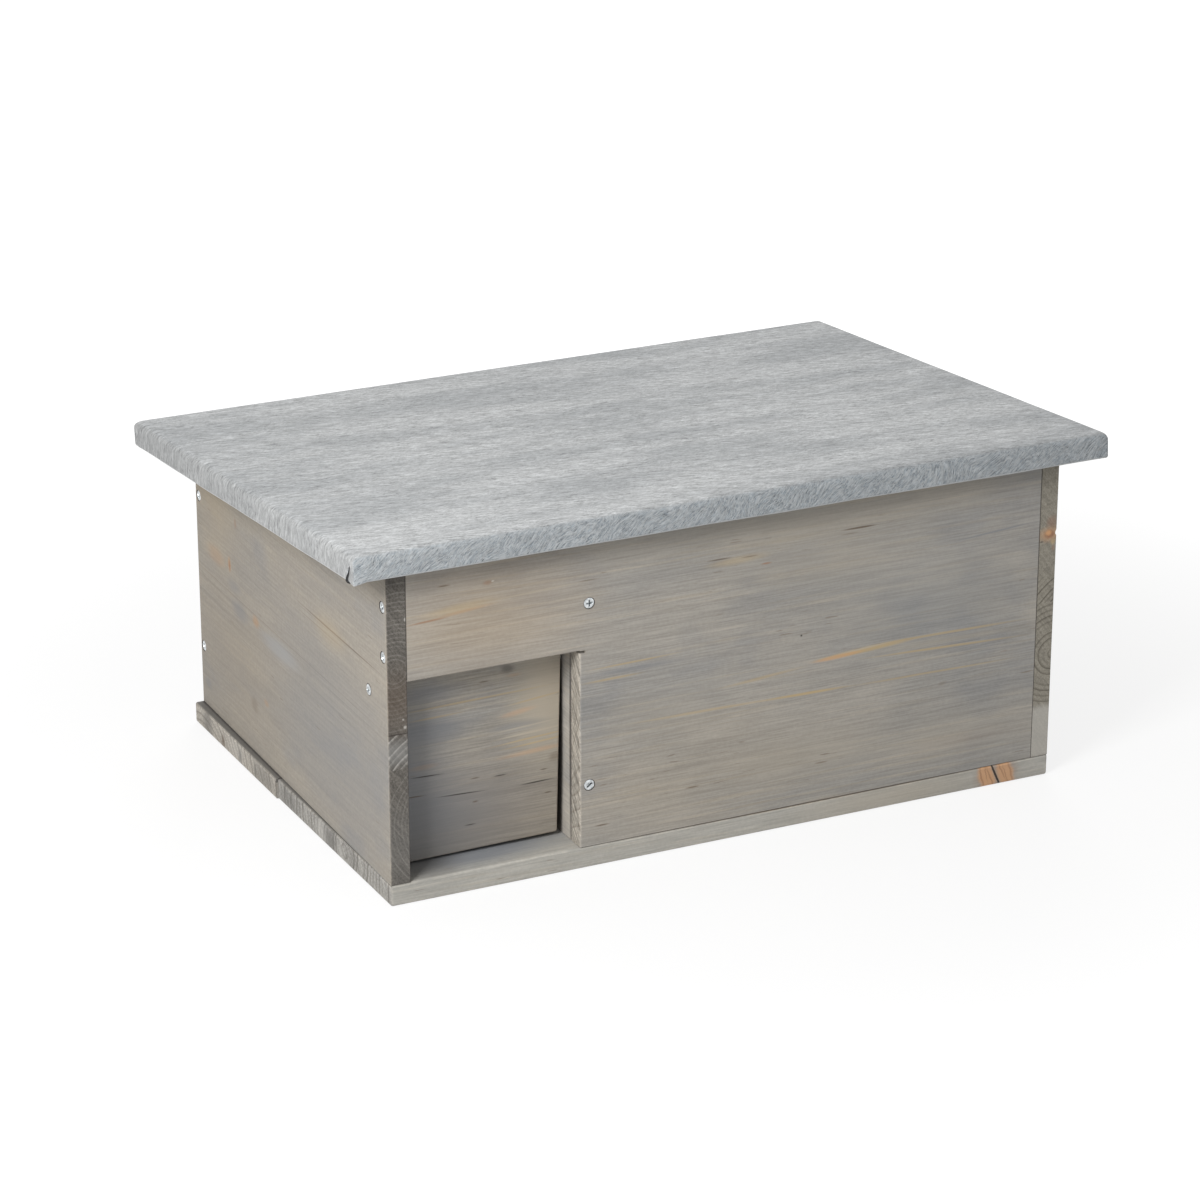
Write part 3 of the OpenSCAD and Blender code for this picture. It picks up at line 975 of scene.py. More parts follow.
def ease_edges(bm: Mesh, radius: float, joints: Sequence[tuple[int, float]] = ()) -> None:
    """Rounds all sharp edges a little, and marks free edges as rubbed and edges in joints as grimy.

    Args:
        bm: The board.
        radius: Radius of the free edges.
        joints: Axis and place of each plane where the board meets another one.
    """
    layer = bm.faces.layers.float.new(WEAR_AND_SHADE)
    sharp_angle = math.radians(40)
    joint_share = 0.26

    def is_joined(edge: Edge) -> bool:
        """Tells whether an edge lies in one of the joints."""
        return any(all(abs(v.co[axis] - place) < TOUCH for v in edge.verts) for axis, place in joints)

    for size, wear in ((joint_share * radius, -1.0), (radius, 1.0)):
        sharp = [edge for edge in bm.edges if edge.calc_face_angle(0.0) > sharp_angle]
        chosen = [edge for edge in sharp if wear > 0 or is_joined(edge)]
        for face in round_edges(bm, chosen, size, segments=3):
            face[layer] = wear


def turned_profile(points: Sequence[tuple[float, float]], steps: int) -> Mesh:
    """Spins a profile of radius and height once round the Z axis.

    Args:
        points: Radius and height of each point, from the axis and back to it.
        steps: Faces round the axis.

    Returns:
        A closed bmesh.
    """
    bm = bmesh.new()
    verts = [bm.verts.new((radius, 0.0, height)) for radius, height in points]
    edges = [bm.edges.new(pair) for pair in zip(verts, verts[1:])]
    bmesh.ops.spin(bm, geom=[*verts, *edges], cent=(0, 0, 0), axis=(0, 0, 1), angle=math.tau, steps=steps,
                   use_merge=True)
    bmesh.ops.remove_doubles(bm, verts=bm.verts, dist=TOUCH)
    bmesh.ops.recalc_face_normals(bm, faces=bm.faces)
    return bm


def stamped(template: Piece, places: Iterable[Matrix]) -> Mesh:
    """Puts copies of a shape at several places.

    Args:
        template: The shape, which is removed.
        places: Where the copies go.

    Returns:
        One bmesh of all the copies.
    """
    bm = bmesh.new()
    for place in places:
        count = len(bm.verts)
        bm.from_mesh(template.data)
        bm.verts.ensure_lookup_table()
        bmesh.ops.transform(bm, matrix=place, verts=bm.verts[count:])
    bpy.data.meshes.remove(template.data)
    return bm


def cut_away(piece: Piece, cutter: Mesh) -> None:
    """Cuts a shape out of a piece and keeps the result as its mesh.

    Args:
        piece: The piece.
        cutter: The shape, which is freed.
    """
    tool = as_object(cutter, "cutter")
    made = piece.modifiers.new("cut", "BOOLEAN")
    made.operation = "DIFFERENCE"
    made.solver = "EXACT"
    made.object = tool
    ready = piece.evaluated_get(bpy.context.evaluated_depsgraph_get())
    mesh = bpy.data.meshes.new_from_object(ready)
    piece.modifiers.clear()
    piece.data = mesh
    bpy.data.objects.remove(tool)


def facing(place: Vector, direction: Vector, turn: float = 0.0) -> Matrix:
    """Matrix that stands a shape's Z axis along a direction at a place, turned about it by degrees."""
    stood = direction.to_track_quat("Z", "Y").to_matrix().to_4x4()
    return Matrix.Translation(place) @ stood @ Matrix.Rotation(math.radians(turn), 4, "Z")


def dress(piece: Piece, *materials: Material) -> None:
    """Gives a piece its materials in order.

    Args:
        piece: The piece.
        *materials: Its materials.
    """
    piece.data.materials.clear()
    for material in materials:
        piece.data.materials.append(material)


def finish_piece(piece: Piece, body: str, slot: str, nodes: Sequence[str], *materials: Material) -> None:
    """Dresses a piece and fixes it to its body.

    Args:
        piece: The piece.
        body: Name of the body that it moves with.
        slot: The record's material slot of the piece; not used.
        nodes: Nodes that it stands for.
        *materials: Its materials in order.
    """
    dress(piece, *materials)
    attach(piece, body)
    if nodes:
        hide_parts(*nodes)
    LOG.info("%s: %d faces on %s", piece.name, len(piece.data.polygons), body)


@dataclass
class Frame:
    """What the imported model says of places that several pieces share."""

    nodes: dict[str, Piece]
    roof_slope: float = math.radians(5)
    roof_gap: float = 0.3 * MM
    head_spacing: float = 8 * MM

    @staticmethod
    def corners(node: str) -> tuple[Vector, Vector]:
        """Lowest and highest corner of a node."""
        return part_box(node)

    def points(self, node: str) -> list[Vector]:
        """All the vertices of a node."""
        return [vert.co.copy() for vert in self.nodes[node].data.vertices]

    def front_edge(self) -> Vector:
        """Middle of the wall tops at the front face, where the roof's slope starts."""
        low, high = self.corners("left_wall")
        return Vector((0.0, low.y, high.z))

    def slope_normal(self) -> Vector:
        """Upward normal of the wall tops."""
        return Vector((0.0, math.sin(self.roof_slope), math.cos(self.roof_slope)))

    def roof_matrix(self) -> Matrix:
        """Places the roof's own frame: Y down its slope from the front face, Z square to it."""
        origin = self.front_edge() + Vector((0.0, 0.0, self.roof_gap))
        return Matrix.Translation(origin) @ Matrix.Rotation(-self.roof_slope, 4, "X")

    def left_end(self, node: str, y: float) -> float:
        """How far a node reaches to the left at a distance y."""
        return min(point.x for point in self.points(node) if abs(point.y - y) < TOUCH)

    def reach(self, node: str, direction: Vector) -> float:
        """How long a node is along a direction."""
        along = [point.dot(direction) for point in self.points(node)]
        return max(along) - min(along)

    def heads(self, node: str, direction: Vector) -> list[Vector]:
        """Finds the screw heads of a node.

        Args:
            node: The node, whose screws all point the same way.
            direction: Where their heads face.

        Returns:
            The middle of each head's top.
        """
        points = self.points(node)
        top = max(point.dot(direction) for point in points)
        groups: list[list[Vector]] = []
        for point in (point for point in points if top - point.dot(direction) < TOUCH):
            near = next((group for group in groups if (group[0] - point).length < self.head_spacing), None)
            if near is None:
                groups.append([point])
            else:
                near.append(point)
        return [self._middle(group) for group in groups]

    @staticmethod
    def _middle(points: Sequence[Vector]) -> Vector:
        """Middle of the box round some points."""
        spans = [(min(parts), max(parts)) for parts in zip(*points)]
        return Vector([(low + high) / 2 for low, high in spans])

    def pine(self, node: str, finish: PineFinish) -> Material:
        """Builds a board's material, with the marks on the face that its finish names.

        Args:
            node: The board's node.
            finish: Its finish.

        Returns:
            The material.
        """
        low, high = self.corners(node)
        places = {Side.FRONT: low.y, Side.LEFT: -low.x, Side.RIGHT: -high.x}
        return finish.material(places[finish.side] / MM)


LEFT = Vector((-1.0, 0.0, 0.0))
RIGHT = Vector((1.0, 0.0, 0.0))
FRONT = Vector((0.0, -1.0, 0.0))
BACK = Vector((0.0, 1.0, 0.0))
DOWN = Vector((0.0, 0.0, -1.0))


@dataclass
class Screws:
    """A group of cross-head countersunk screws that stands for one node."""

    frame: Frame
    node: str
    body: str
    direction: Vector
    head_d: float = 6.1 * MM
    shank_d: float = 3.5 * MM
    rim: float = 0.4 * MM
    bevel: float = 0.35 * MM
    crown: float = 0.12 * MM
    tip: float = 0.2 * MM
    flat_share: float = 0.6
    rim_share: float = 0.75
    recess: float = 1.7 * MM
    arm_share: float = 0.38
    arm_width: float = 0.10
    recess_taper: float = 0.42
    hole_gap: float = 0.4 * MM
    hole_faces: int = 32
    faces: int = 40
    smooth_below: float = 35.0
    turns: float = 37.0

    def heads(self) -> list[Vector]:
        """Places of the heads."""
        return self.frame.heads(self.node, self.direction)

    def build(self, material: Material) -> None:
        """Models the screws and dresses them.

        Args:
            material: Their plating.
        """
        places = [facing(spot, self.direction, index * self.turns)
                  for index, spot in enumerate(self.heads())]
        piece = as_object(stamped(self._one(), places), self.node + "_look", self.smooth_below)
        finish_piece(piece, self.body, "zinc_plate", [self.node], material)

    def holes(self, depth: float) -> Mesh:
        """Makes countersunk holes, a little wider than the screws.

        Args:
            depth: How deep the holes go.

        Returns:
            A bmesh to cut away.
        """
        head = self.head_d / 2 + self.hole_gap
        shank = self.shank_d / 2 + self.hole_gap
        cone = self.rim + head - shank
        profile = [(0.0, PAST), (head, PAST), (head, -self.rim), (shank, -cone), (shank, -depth),
                   (0.0, -depth)]
        template = as_object(turned_profile(profile, self.hole_faces), "hole")
        bm = stamped(template, [facing(spot, self.direction) for spot in self.heads()])
        # Faces marked -1 are darkened by the board's material: the crushed wood's own dark, and painted
        # shade in the gap round each head
        layer = bm.faces.layers.float.new(WEAR_AND_SHADE)
        for face in bm.faces:
            face[layer] = -1.0
        return bm

    def _one(self) -> Piece:
        """Models one screw along Z, with its head's top at the origin and a cross recess in it.

        Returns:
            The screw.
        """
        head = self.head_d / 2
        shank = self.shank_d / 2
        length = self.frame.reach(self.node, self.direction)
        cone = self.rim + head - shank
        profile = [(0.0, 0.0), (head * self.flat_share, 0.0), (head - self.bevel, -self.crown),
                   (head, -self.rim * self.rim_share), (head, -self.rim), (shank, -cone),
                   (shank, self.shank_d - length), (self.tip, -length), (0.0, -length)]
        screw = as_object(turned_profile(profile, self.faces), "screw")
        cut_away(screw, self._cross())
        return screw

    def _cross(self) -> Mesh:
        """Makes a cross that narrows with its depth.

        Returns:
            A bmesh to cut from a head.
        """
        arm = self.head_d * self.arm_share
        half = self.head_d * self.arm_width
        corners = []
        for quarter in range(4):
            turn = Matrix.Rotation(quarter * math.pi / 2, 3, "Z")
            corners += [turn @ Vector((x, y, PAST)) for x, y in ((arm, -half), (arm, half), (half, half))]
        bm = prism(corners, (0.0, 0.0, -PAST - self.recess))
        deep = [vert for vert in bm.verts if vert.co.z < 0]
        bmesh.ops.scale(bm, verts=deep, vec=(self.recess_taper, self.recess_taper, 1.0))
        return bm


@dataclass
class Carcass:
    """The fixed box: base boards, side walls, front panel, rear wall and partition."""

    frame: Frame
    ease: float = 0.9 * MM
    base_ease: float = 1.3 * MM
    entrance_top: float = 129.5 * MM
    saw_kerf: float = 1.6 * MM
    saw_overrun: float = 3.5 * MM
    nick_size: Triple = (1.5 * MM, 3.2 * MM, 2.0 * MM)
    nick_out: float = 0.4 * MM
    nick_height: float = 150.0 * MM
    base_nodes: tuple[str, ...] = ("base_front_board", "base_rear_board")
    pieces: dict[str, Piece] = field(default_factory=dict)

    def build(self, finishes: dict[str, PineFinish]) -> None:
        """Models every board and dresses it.

        Args:
            finishes: The finish of each board, by its node.
        """
        for node in finishes:
            bm = self._board(node)
            ease_edges(bm, self.base_ease if node in self.base_nodes else self.ease, self._joints(node))
            self.pieces[node] = as_object(bm, node + "_look")
        self._saw_notch()
        self._nick()
        for node, piece in self.pieces.items():
            finish_piece(piece, "house", "stained_pine", [node], self.frame.pine(node, finishes[node]))

    def _joints(self, node: str) -> list[tuple[int, float]]:
        """Lists the planes where a board meets its neighbours.

        Args:
            node: The board's node.

        Returns:
            Axis and place of each plane.
        """
        low, high = self.frame.corners(node)
        floor, left, right = (2, low.z), (0, low.x), (0, high.x)
        return {"left_wall": [floor, right], "right_wall": [floor, left], "partition": [floor],
                "front_panel": [floor, left, right], "rear_wall": [floor, left, right],
                "base_front_board": [(1, high.y)], "base_rear_board": [(1, low.y)]}[node]

    def _board(self, node: str) -> Mesh:
        """Makes a base board, or a standing board with its top cut to the roof's slope.

        Args:
            node: The board's node.

        Returns:
            The board.
        """
        low, high = self.frame.corners(node)
        if node in self.base_nodes:
            front, back = (self.frame.left_end(node, y) for y in (low.y, high.y))
            plan = [(front, low.y), (high.x, low.y), (high.x, high.y), (back, high.y)]
            return prism([(x, y, low.z) for x, y in plan], (0.0, 0.0, high.z - low.z))
        above = high.z + PAST
        outline = [(low.x, low.z), (high.x, low.z), (high.x, above), (low.x, above)]
        if node == "front_panel":
            inner = self.frame.corners("partition")[0].x
            outline[0] = (inner, low.z)
            outline += [(low.x, self.entrance_top), (inner, self.entrance_top)]
        bm = prism([(x, low.y, z) for x, z in outline], (0.0, high.y - low.y, 0.0))
        slice_top(bm, self.frame.front_edge(), self.frame.slope_normal())
        return bm

    def _saw_notch(self) -> None:
        """Cuts the saw's overrun past the entrance's inner corner."""
        low, high = self.frame.corners("front_panel")
        inner = self.frame.corners("partition")[0].x
        start = Vector((inner - PAST, low.y - PAST, self.entrance_top - self.saw_kerf))
        across = Vector((self.saw_overrun + PAST, 0.0, 0.0))
        up = Vector((0.0, 0.0, self.saw_kerf))
        outline = [start, start + across, start + across + up, start + up]
        through = (0.0, high.y - low.y + 2 * PAST, 0.0)
        cut_away(self.pieces["front_panel"], prism(outline, through))

    def _nick(self) -> None:
        """Breaks a small chip out of the right wall's front edge, beside its knot."""
        low, high = self.frame.corners("right_wall")
        bm = bmesh.new()
        bmesh.ops.create_icosphere(bm, subdivisions=3, radius=1.0)
        bmesh.ops.scale(bm, verts=bm.verts, vec=self.nick_size)
        bmesh.ops.translate(bm, verts=bm.verts, vec=(high.x + self.nick_out, low.y, self.nick_height))
        cut_away(self.pieces["right_wall"], bm)


@dataclass
class Flap:
    """The entrance flap, which swings on two pivot screws."""

    frame: Frame
    node: str = "flap"
    ease: float = 1.1 * MM

    def build(self, finish: PineFinish) -> None:
        """Models the flap's board and dresses it.

        Args:
            finish: The board's finish.
        """
        low, high = self.frame.corners(self.node)
        bm = prism(self._outline(low.y), (0.0, high.y - low.y, 0.0))
        ease_edges(bm, self.ease)
        piece = as_object(bm, "flap_look")
        finish_piece(piece, "flap", "stained_pine", [self.node], self.frame.pine(self.node, finish))

    def _outline(self, front: float) -> list[Vector]:
        """Finds the corners of the flap's front face.

        Args:
            front: Where that face lies along Y.

        Returns:
            The corners in order round the face.
        """
        on_face = [point for point in self.frame.points(self.node) if abs(point.y - front) < TOUCH]
        # One of each corner, told apart to a micrometre
        points = list({tuple(round(part, 6) for part in point): point for point in on_face}.values())
        middle = sum(points, Vector()) / len(points)
        return sorted(points, key=lambda point: math.atan2(point.z - middle.z, point.x - middle.x))


@dataclass(frozen=True)
class Staple:
    """A wire staple: a flat crown below and two legs up into the board."""

    half: float = 5.0 * MM
    wire: float = 0.6 * MM
    leg: float = 6.0 * MM
    width: float = 1.1 * MM
    rounding: float = 0.2 * MM

    def build(self) -> Piece:
        """Models the staple along X.

        Returns:
            The staple.
        """
        inner = self.half - self.wire
        right = [(self.half, -self.wire), (self.half, self.leg), (inner, self.leg), (inner, 0.0)]
        outline = right + [(-x, z) for x, z in reversed(right)]
        bm = prism([(x, -self.width / 2, z) for x, z in outline], (0.0, self.width, 0.0))
        low = [edge for edge in bm.edges if all(v.co.z < -self.wire / 2 for v in edge.verts)]
        round_edges(bm, low, self.rounding, segments=2)
        return as_object(bm, "staple")


# Widest opening of the felt beside each corner, by side and end of the roof; -1 is the left and the front
CORNER_GAPS = {(-1, -1): 3.1 * MM, (1, -1): 0.7 * MM, (-1, 1): 0.9 * MM, (1, 1): 0.8 * MM}


@dataclass
class FeltRoof:
    """The roof: its board, the felt folded round it, and the staples under the felt's hem."""

    frame: Frame
    front_overhang: float = 14.0 * MM
    rear_overhang: float = 37.5 * MM
    board_t: float = 12.0 * MM
    felt_t: float = 1.5 * MM
    sheet_t: float = 1.3 * MM
    hem: float = 11.0 * MM
    edge_r: float = 4.0 * MM
    corner_r: float = 1.6 * MM
    hem_r: float = 1.3 * MM
    cell: float = 8.0 * MM
    # Least angle of a bend, and parts of a normal along Z that tell the top, the hem and the underside
    least_bend: float = 0.1
    top_lean: float = 0.8
    hem_lean: float = -0.7
    under_lean: float = -0.9
    edge_levels: tuple[float, ...] = (0.25, 0.5, 0.75)
    slit_top: float = 10.5 * MM
    slit_back: float = 7.5 * MM
    slit_tip: float = 0.5 * MM
    slit_lift: float = 0.5 * MM
    slit_arc: Span = (0.08, 0.94)
    slit_reach: float = 3.0
    sag: float = 2.0 * MM
    sag_reach: float = 7.0 * MM
    top_wave: float = 0.12 * MM
    edge_wave: float = 0.3 * MM
    waviness: float = 0.022 / MM
    tuck_t: float = 0.3 * MM
    tuck_out: float = 0.5 * MM
    tuck_drop: float = 0.5 * MM
    tuck_rounding: float = 0.1 * MM
    tuck_margin: float = 1.0 * MM
    staple_pitch: float = 42.0 * MM
    staple_share: float = 0.55
    staple_tilt: float = 7.0
    staple_rhythm: float = 2.4
    body: str = "roof"

    def __post_init__(self) -> None:
        """Works out the roof's outline in its own frame."""
        low, high = self.frame.corners("left_wall")
        self.half = self.frame.corners("roof_felt")[1].x
        self.front = -self.front_overhang
        self.back = (high.y - low.y) / math.cos(self.frame.roof_slope) + self.rear_overhang
        self.length = self.back - self.front
        self.low = -self.felt_t
        self.top = self.board_t + self.felt_t
        self.middle = (self.front + self.back) / 2

    def build(self, finish: FeltFinish, board: PineFinish, steel: Material) -> None:
        """Makes the roof's pieces.

        Args:
            finish: Finish of the felt.
            board: Finish of the roof board.
            steel: Material of the staples.
        """
        dress(self.frame.nodes["roof_board"], self.frame.pine("roof_board", board))
        felt = self._felt()
        finish_piece(felt, self.body, "roofing_felt", ["roof_felt"], finish.material(),
                     finish.backing_material())
        solid = felt.modifiers.new("felt", "SOLIDIFY")
        solid.thickness = self.sheet_t
        solid.offset = -1.0
        solid.material_offset = 1
        finish_piece(self._tucks(), self.body, "roofing_felt", [], finish.backing_material())
        finish_piece(self._staples(), self.body, "zinc_plate", [], steel)

    def _placed(self, bm: Mesh, name: str, smooth_below: float | None = None) -> Piece:
        """Turns a bmesh in the roof's own frame into an object on the house."""
        bmesh.ops.transform(bm, matrix=self.frame.roof_matrix(), verts=bm.verts)
        return as_object(bm, name, smooth_below)

    def _felt(self) -> Piece:
        """Makes the sheet of felt, wrapped over the board's edges and turned under.

        Returns:
            The sheet.
        """
        bm = bmesh.new()
        size = (2 * self.half, self.length, self.top - self.low)
        block(bm, size, (0.0, self.middle, (self.top + self.low) / 2))
        self._round(bm, lambda edge: all(v.co.z > self.top - TOUCH for v in edge.verts), self.edge_r,
                    segments=6)
        self._round(bm, self._is_corner, self.corner_r, segments=3)
        self._round(bm, lambda edge: all(v.co.z < self.low + TOUCH for v in edge.verts), self.hem_r,
                    segments=3)
        self._grid(bm)
        below = [face for face in bm.faces if face.normal.z < self.under_lean]
        inside = [face for face in below if self._inset(face.calc_center_median()) > self.hem]
        bmesh.ops.delete(bm, geom=inside, context="FACES")
        for (across, along), gap in CORNER_GAPS.items():
            self._slit(bm, across, along, gap)
        self._settle(bm)
        self._lay_flat(bm)
        return self._placed(bm, "roof_felt_sheet", smooth_below=70.0)

    @staticmethod
    def _is_corner(edge: Edge) -> bool:
        """Tells whether an edge stands upright or runs over a corner."""
        way = edge.verts[1].co - edge.verts[0].co
        return not (math.hypot(way.y, way.z) < TOUCH or math.hypot(way.x, way.z) < TOUCH)

    def _round(self, bm: Mesh, choose: Callable[[Edge], bool], radius: float, segments: int) -> None:
        """Rounds those of the bends that a test chooses."""
        bends = [edge for edge in bm.edges
                 if edge.is_manifold and edge.calc_face_angle() > self.least_bend]
        round_edges(bm, [edge for edge in bends if choose(edge)], radius, segments)

    def _grid(self, bm: Mesh) -> None:
        """Cuts the skin into cells, with cuts along the hem's inner edge.

        Args:
            bm: The felt's mesh.
        """
        sides = [self.hem - self.half, self.half - self.hem]
        sides += [index * self.cell - self.half for index in range(1, round(2 * self.half / self.cell))]
        ends = [self.front + self.hem, self.back - self.hem]
        ends += [self.front + index * self.cell for index in range(1, round(self.length / self.cell))]
        levels = [self.low + share * (self.top - self.edge_r - self.low) for share in self.edge_levels]
        for axis, places in enumerate((sides, ends, levels)):
            normal = Vector([float(axis == other) for other in range(3)])
            for place in places:
                cut_plane(bm, place * normal, normal)

    def _inset(self, point: Vector) -> float:
        """How far a point lies inside the roof's outline."""
        return min(self.half - abs(point.x), point.y - self.front, self.back - point.y)

    def _slit(self, bm: Mesh, across: int, along: int, gap: float) -> None:
        """Opens the felt beside a corner, where the end strip is folded round onto the side.

        Args:
            bm: The felt's mesh.
            across: Side of the roof, -1 for the left.
            along: End of the roof, -1 for the front.
            gap: Widest opening.
        """
        end = self.front if along < 0 else self.back
        upper = Vector((0.0, end - along * self.corner_r, self.slit_top))
        lower = Vector((0.0, end - along * self.slit_back, self.low))
        normal = (lower - upper).cross(RIGHT).normalized()
        normal *= -along if normal.y > 0 else along

        def is_near(point: Vector) -> bool:
            """Tells whether a point is in the part of the side beside this corner.

            Args:
                point: The point.

            Returns:
                Whether it is.
            """
            beside = across * point.x > self.half - self.hem
            near_end = along * (point.y - end) > -self.slit_reach * self.slit_back
            return beside and near_end and point.z < self.slit_top + TOUCH

        faces = [face for face in bm.faces if is_near(face.calc_center_median())]
        parts = {item for face in faces for item in (*face.verts, *face.edges, face)}
        cut = bmesh.ops.bisect_plane(bm, geom=list(parts), dist=TOUCH, plane_co=upper, plane_no=normal)
        edges = [edge for edge in of_kind(cut["geom_cut"], Edge)
                 if all(v.co.z < self.slit_top - self.slit_tip for v in edge.verts)]
        bmesh.ops.split_edges(bm, edges=edges)
        for vert in [v for v in bm.verts if abs((v.co - upper).dot(normal)) < TOUCH and is_near(v.co)]:
            centres = [face.calc_center_median() for face in vert.link_faces]
            beyond = (sum(centres, Vector()) / len(centres) - upper).dot(normal) > 0
            if beyond and vert.is_boundary:
                share = (self.slit_top - vert.co.z) / (self.slit_top - self.low)
                start, stop = self.slit_arc
                opening = math.sin(math.pi * (start + (stop - start) * share))
                vert.co += Vector((across * self.slit_lift, -along * gap, 0.0)) * opening

    def _settle(self, bm: Mesh) -> None:
        """Lets the felt lie a little unevenly, more along its edges, and sag at its front left corner.

        Args:
            bm: The felt's mesh.
        """
        bm.normal_update()
        for vert in bm.verts:
            amount = self.top_wave if vert.normal.z > self.top_lean else self.edge_wave
            vert.co += vert.normal * amount * noise.noise(vert.co * self.waviness)
        corner = Vector((-self.half, self.front, self.low))
        for vert in bm.verts:
            near = max(0.0, 1.0 - (vert.co - corner).length / self.sag_reach)
            vert.co.z -= self.sag * near * near

    def _lay_flat(self, bm: Mesh) -> None:
        """Writes where each point lay on the flat felt, in metres, as the sheet's coordinates.

        Args:
            bm: The felt's mesh.
        """
        layer = bm.loops.layers.uv.new(SHEET_UV)
        for face in bm.faces:
            for loop in face.loops:
                point = loop.vert.co
                drop = self.top - point.z
                sideways = abs(face.normal.x) > abs(face.normal.y)
                if face.normal.z < self.hem_lean:
                    inset_x = self.half - abs(point.x)
                    inset_y = min(point.y - self.front, self.back - point.y)
                    sideways = inset_x < inset_y
                    drop += 2 * min(inset_x, inset_y)
                u = point.x + math.copysign(drop, point.x) * sideways
                v = point.y + math.copysign(drop, point.y - self.middle) * (not sideways)
                loop[layer].uv = (u, v)

    def _tucks(self) -> Piece:
        """Makes thin black blocks that stand behind the openings beside the corners: the felt's black
        underside in the folds, and the black of the openings' deep shade.

        Returns:
            The layers as one piece.
        """
        bm = bmesh.new()
        size = (self.tuck_t, 2 * self.slit_back, self.board_t - 2 * self.tuck_margin)
        for across in (-1, 1):
            for end, along in ((self.front, 1), (self.back, -1)):
                middle = (across * (self.half - self.sheet_t + self.tuck_out),
                          end + along * (self.slit_back + self.tuck_margin),
                          self.board_t / 2 - self.tuck_drop)
                block(bm, size, middle)
        round_edges(bm, bm.edges, self.tuck_rounding, segments=2)
        return self._placed(bm, "felt_corner_tucks")

    def _staples(self) -> Piece:
        """Makes the staples that hold the hem, along all four sides.

        Returns:
            The staples as one piece.
        """
        inset = self.hem * self.staple_share
        places = []
        rows = ((2 * self.half, self.front + inset, 0), (2 * self.half, self.back - inset, 0),
                (self.length, inset - self.half, 90), (self.length, self.half - inset, 90))
        for length, offset, turn in rows:
            count = int((length - self.staple_pitch) / self.staple_pitch)
            for index in range(count + 1):
                step = (index - count / 2) * self.staple_pitch
                spot = (offset, self.middle + step, self.low) if turn else (step, offset, self.low)
                tilt = self.staple_tilt * math.sin(self.staple_rhythm * len(places))
                turned = Matrix.Rotation(math.radians(turn + tilt), 4, "Z")
                places.append(Matrix.Translation(spot) @ turned)
        return self._placed(stamped(Staple().build(), places), "felt_staples", smooth_below=40.0)


@dataclass(frozen=True)
class Lamp:
    """A soft lamp that looks at the house.

    Its azimuth, from the front towards the right, and its elevation are in degrees, its power in watts.
    """

    name: str
    azimuth: float
    elevation: float
    distance: float
    size: float
    power: float


@dataclass
class Studio:
    """Floor, light and camera."""

    azimuth: float = -25.62
    elevation: float = 21.37
    distance: float = 2.410
    aim: Vector = field(default_factory=lambda: Vector((-0.0070, -0.0010, 0.0900)))
    lens: float = 123.8
    sensor: float = 36.0
    sky: float = 0.53
    lamps: tuple[Lamp, ...] = (Lamp("key", -54.0, 32.0, 1.3, 0.4, 10.4),
                               Lamp("fill", 150.0, 28.0, 1.6, 0.8, 5.6))
    floor_size: float = 30.0
    floor_drop: float = 0.2 * MM
    floor_shown: Colour = (0.25, 0.25, 0.25)
    floor_lit: Colour = (0.6, 0.6, 0.6)
    floor_roughness: float = 0.9
    glow_span: Span = (0.3, 0.9)
    glow: Span = (0.76, 1.0)

    def build(self) -> None:
        """Sets up the whole studio."""
        bpy.context.scene.view_settings.view_transform = "Standard"
        self._world()
        self._floor()
        for lamp in self.lamps:
            light = bpy.data.lights.new(lamp.name, "AREA")
            light.size = lamp.size
            light.energy = lamp.power
            self._stand(light, lamp.azimuth, lamp.elevation, lamp.distance).visible_camera = False
        camera = bpy.data.cameras.new("camera")
        camera.sensor_width = self.sensor
        camera.lens = self.lens
        bpy.context.scene.camera = self._stand(camera, self.azimuth, self.elevation, self.distance)

    def _stand(self, data: bpy.types.ID, azimuth: float, elevation: float, distance: float) -> Piece:
        """Stands a lamp or camera where it looks at the house.

        Args:
            data: The lamp or camera.
            azimuth: Where it stands, in degrees from the front towards the right.
            elevation: How high it stands, in degrees.
            distance: How far away it is.

        Returns:
            The new object.
        """
        turn = math.radians(azimuth)
        rise = math.radians(elevation)
        back = Vector((math.sin(turn) * math.cos(rise), -math.cos(turn) * math.cos(rise), math.sin(rise)))
        made = linked(data.name, data)
        made.matrix_world = facing(self.aim + back * distance, back)
        return made

    @staticmethod
    def _shown(g: Graph) -> Socket:
        """Tells the rays from the camera, from a mirror and through glass.

        Args:
            g: Graph of the material or world.

        Returns:
            One on such rays, zero on others.
        """
        rays = g.add("LightPath").outputs
        seen = g.math("MAXIMUM", rays["Is Camera Ray"], rays["Is Glossy Ray"])
        return g.math("MAXIMUM", seen, rays["Is Transmission Ray"])

    def _world(self) -> None:
        """White to look at, softer as a light."""
        world = bpy.data.worlds.new("studio")
        bpy.context.scene.world = world
        world.use_nodes = True
        g = Graph(world.node_tree)
        strength = g.step(self._shown(g), 0.0, 1.0, self.sky, 1.0)
        g.feed(world.node_tree.nodes["Background"], {"Color": WHITE, "Strength": strength})

    def _floor(self) -> None:
        """A pale floor that turns white where no shadow falls."""
        bm = bmesh.new()
        bmesh.ops.create_grid(bm, x_segments=1, y_segments=1, size=self.floor_size / 2)
        bmesh.ops.translate(bm, verts=bm.verts, vec=(0.0, 0.0, -self.floor_drop))
        floor = as_object(bm, "floor")
        made, g, shader = new_material("pale_floor")
        shown = self._shown(g)
        glow = g.step(g.length(g.add("TexCoord").outputs["Object"]), *self.glow_span, *self.glow)
        g.feed(shader, {"Base Color": g.mix(shown, self.floor_lit, self.floor_shown),
                        "Roughness": self.floor_roughness, "Specular IOR Level": 0.0,
                        "Emission Color": WHITE, "Emission Strength": g.times(shown, glow)})
        dress(floor, made)


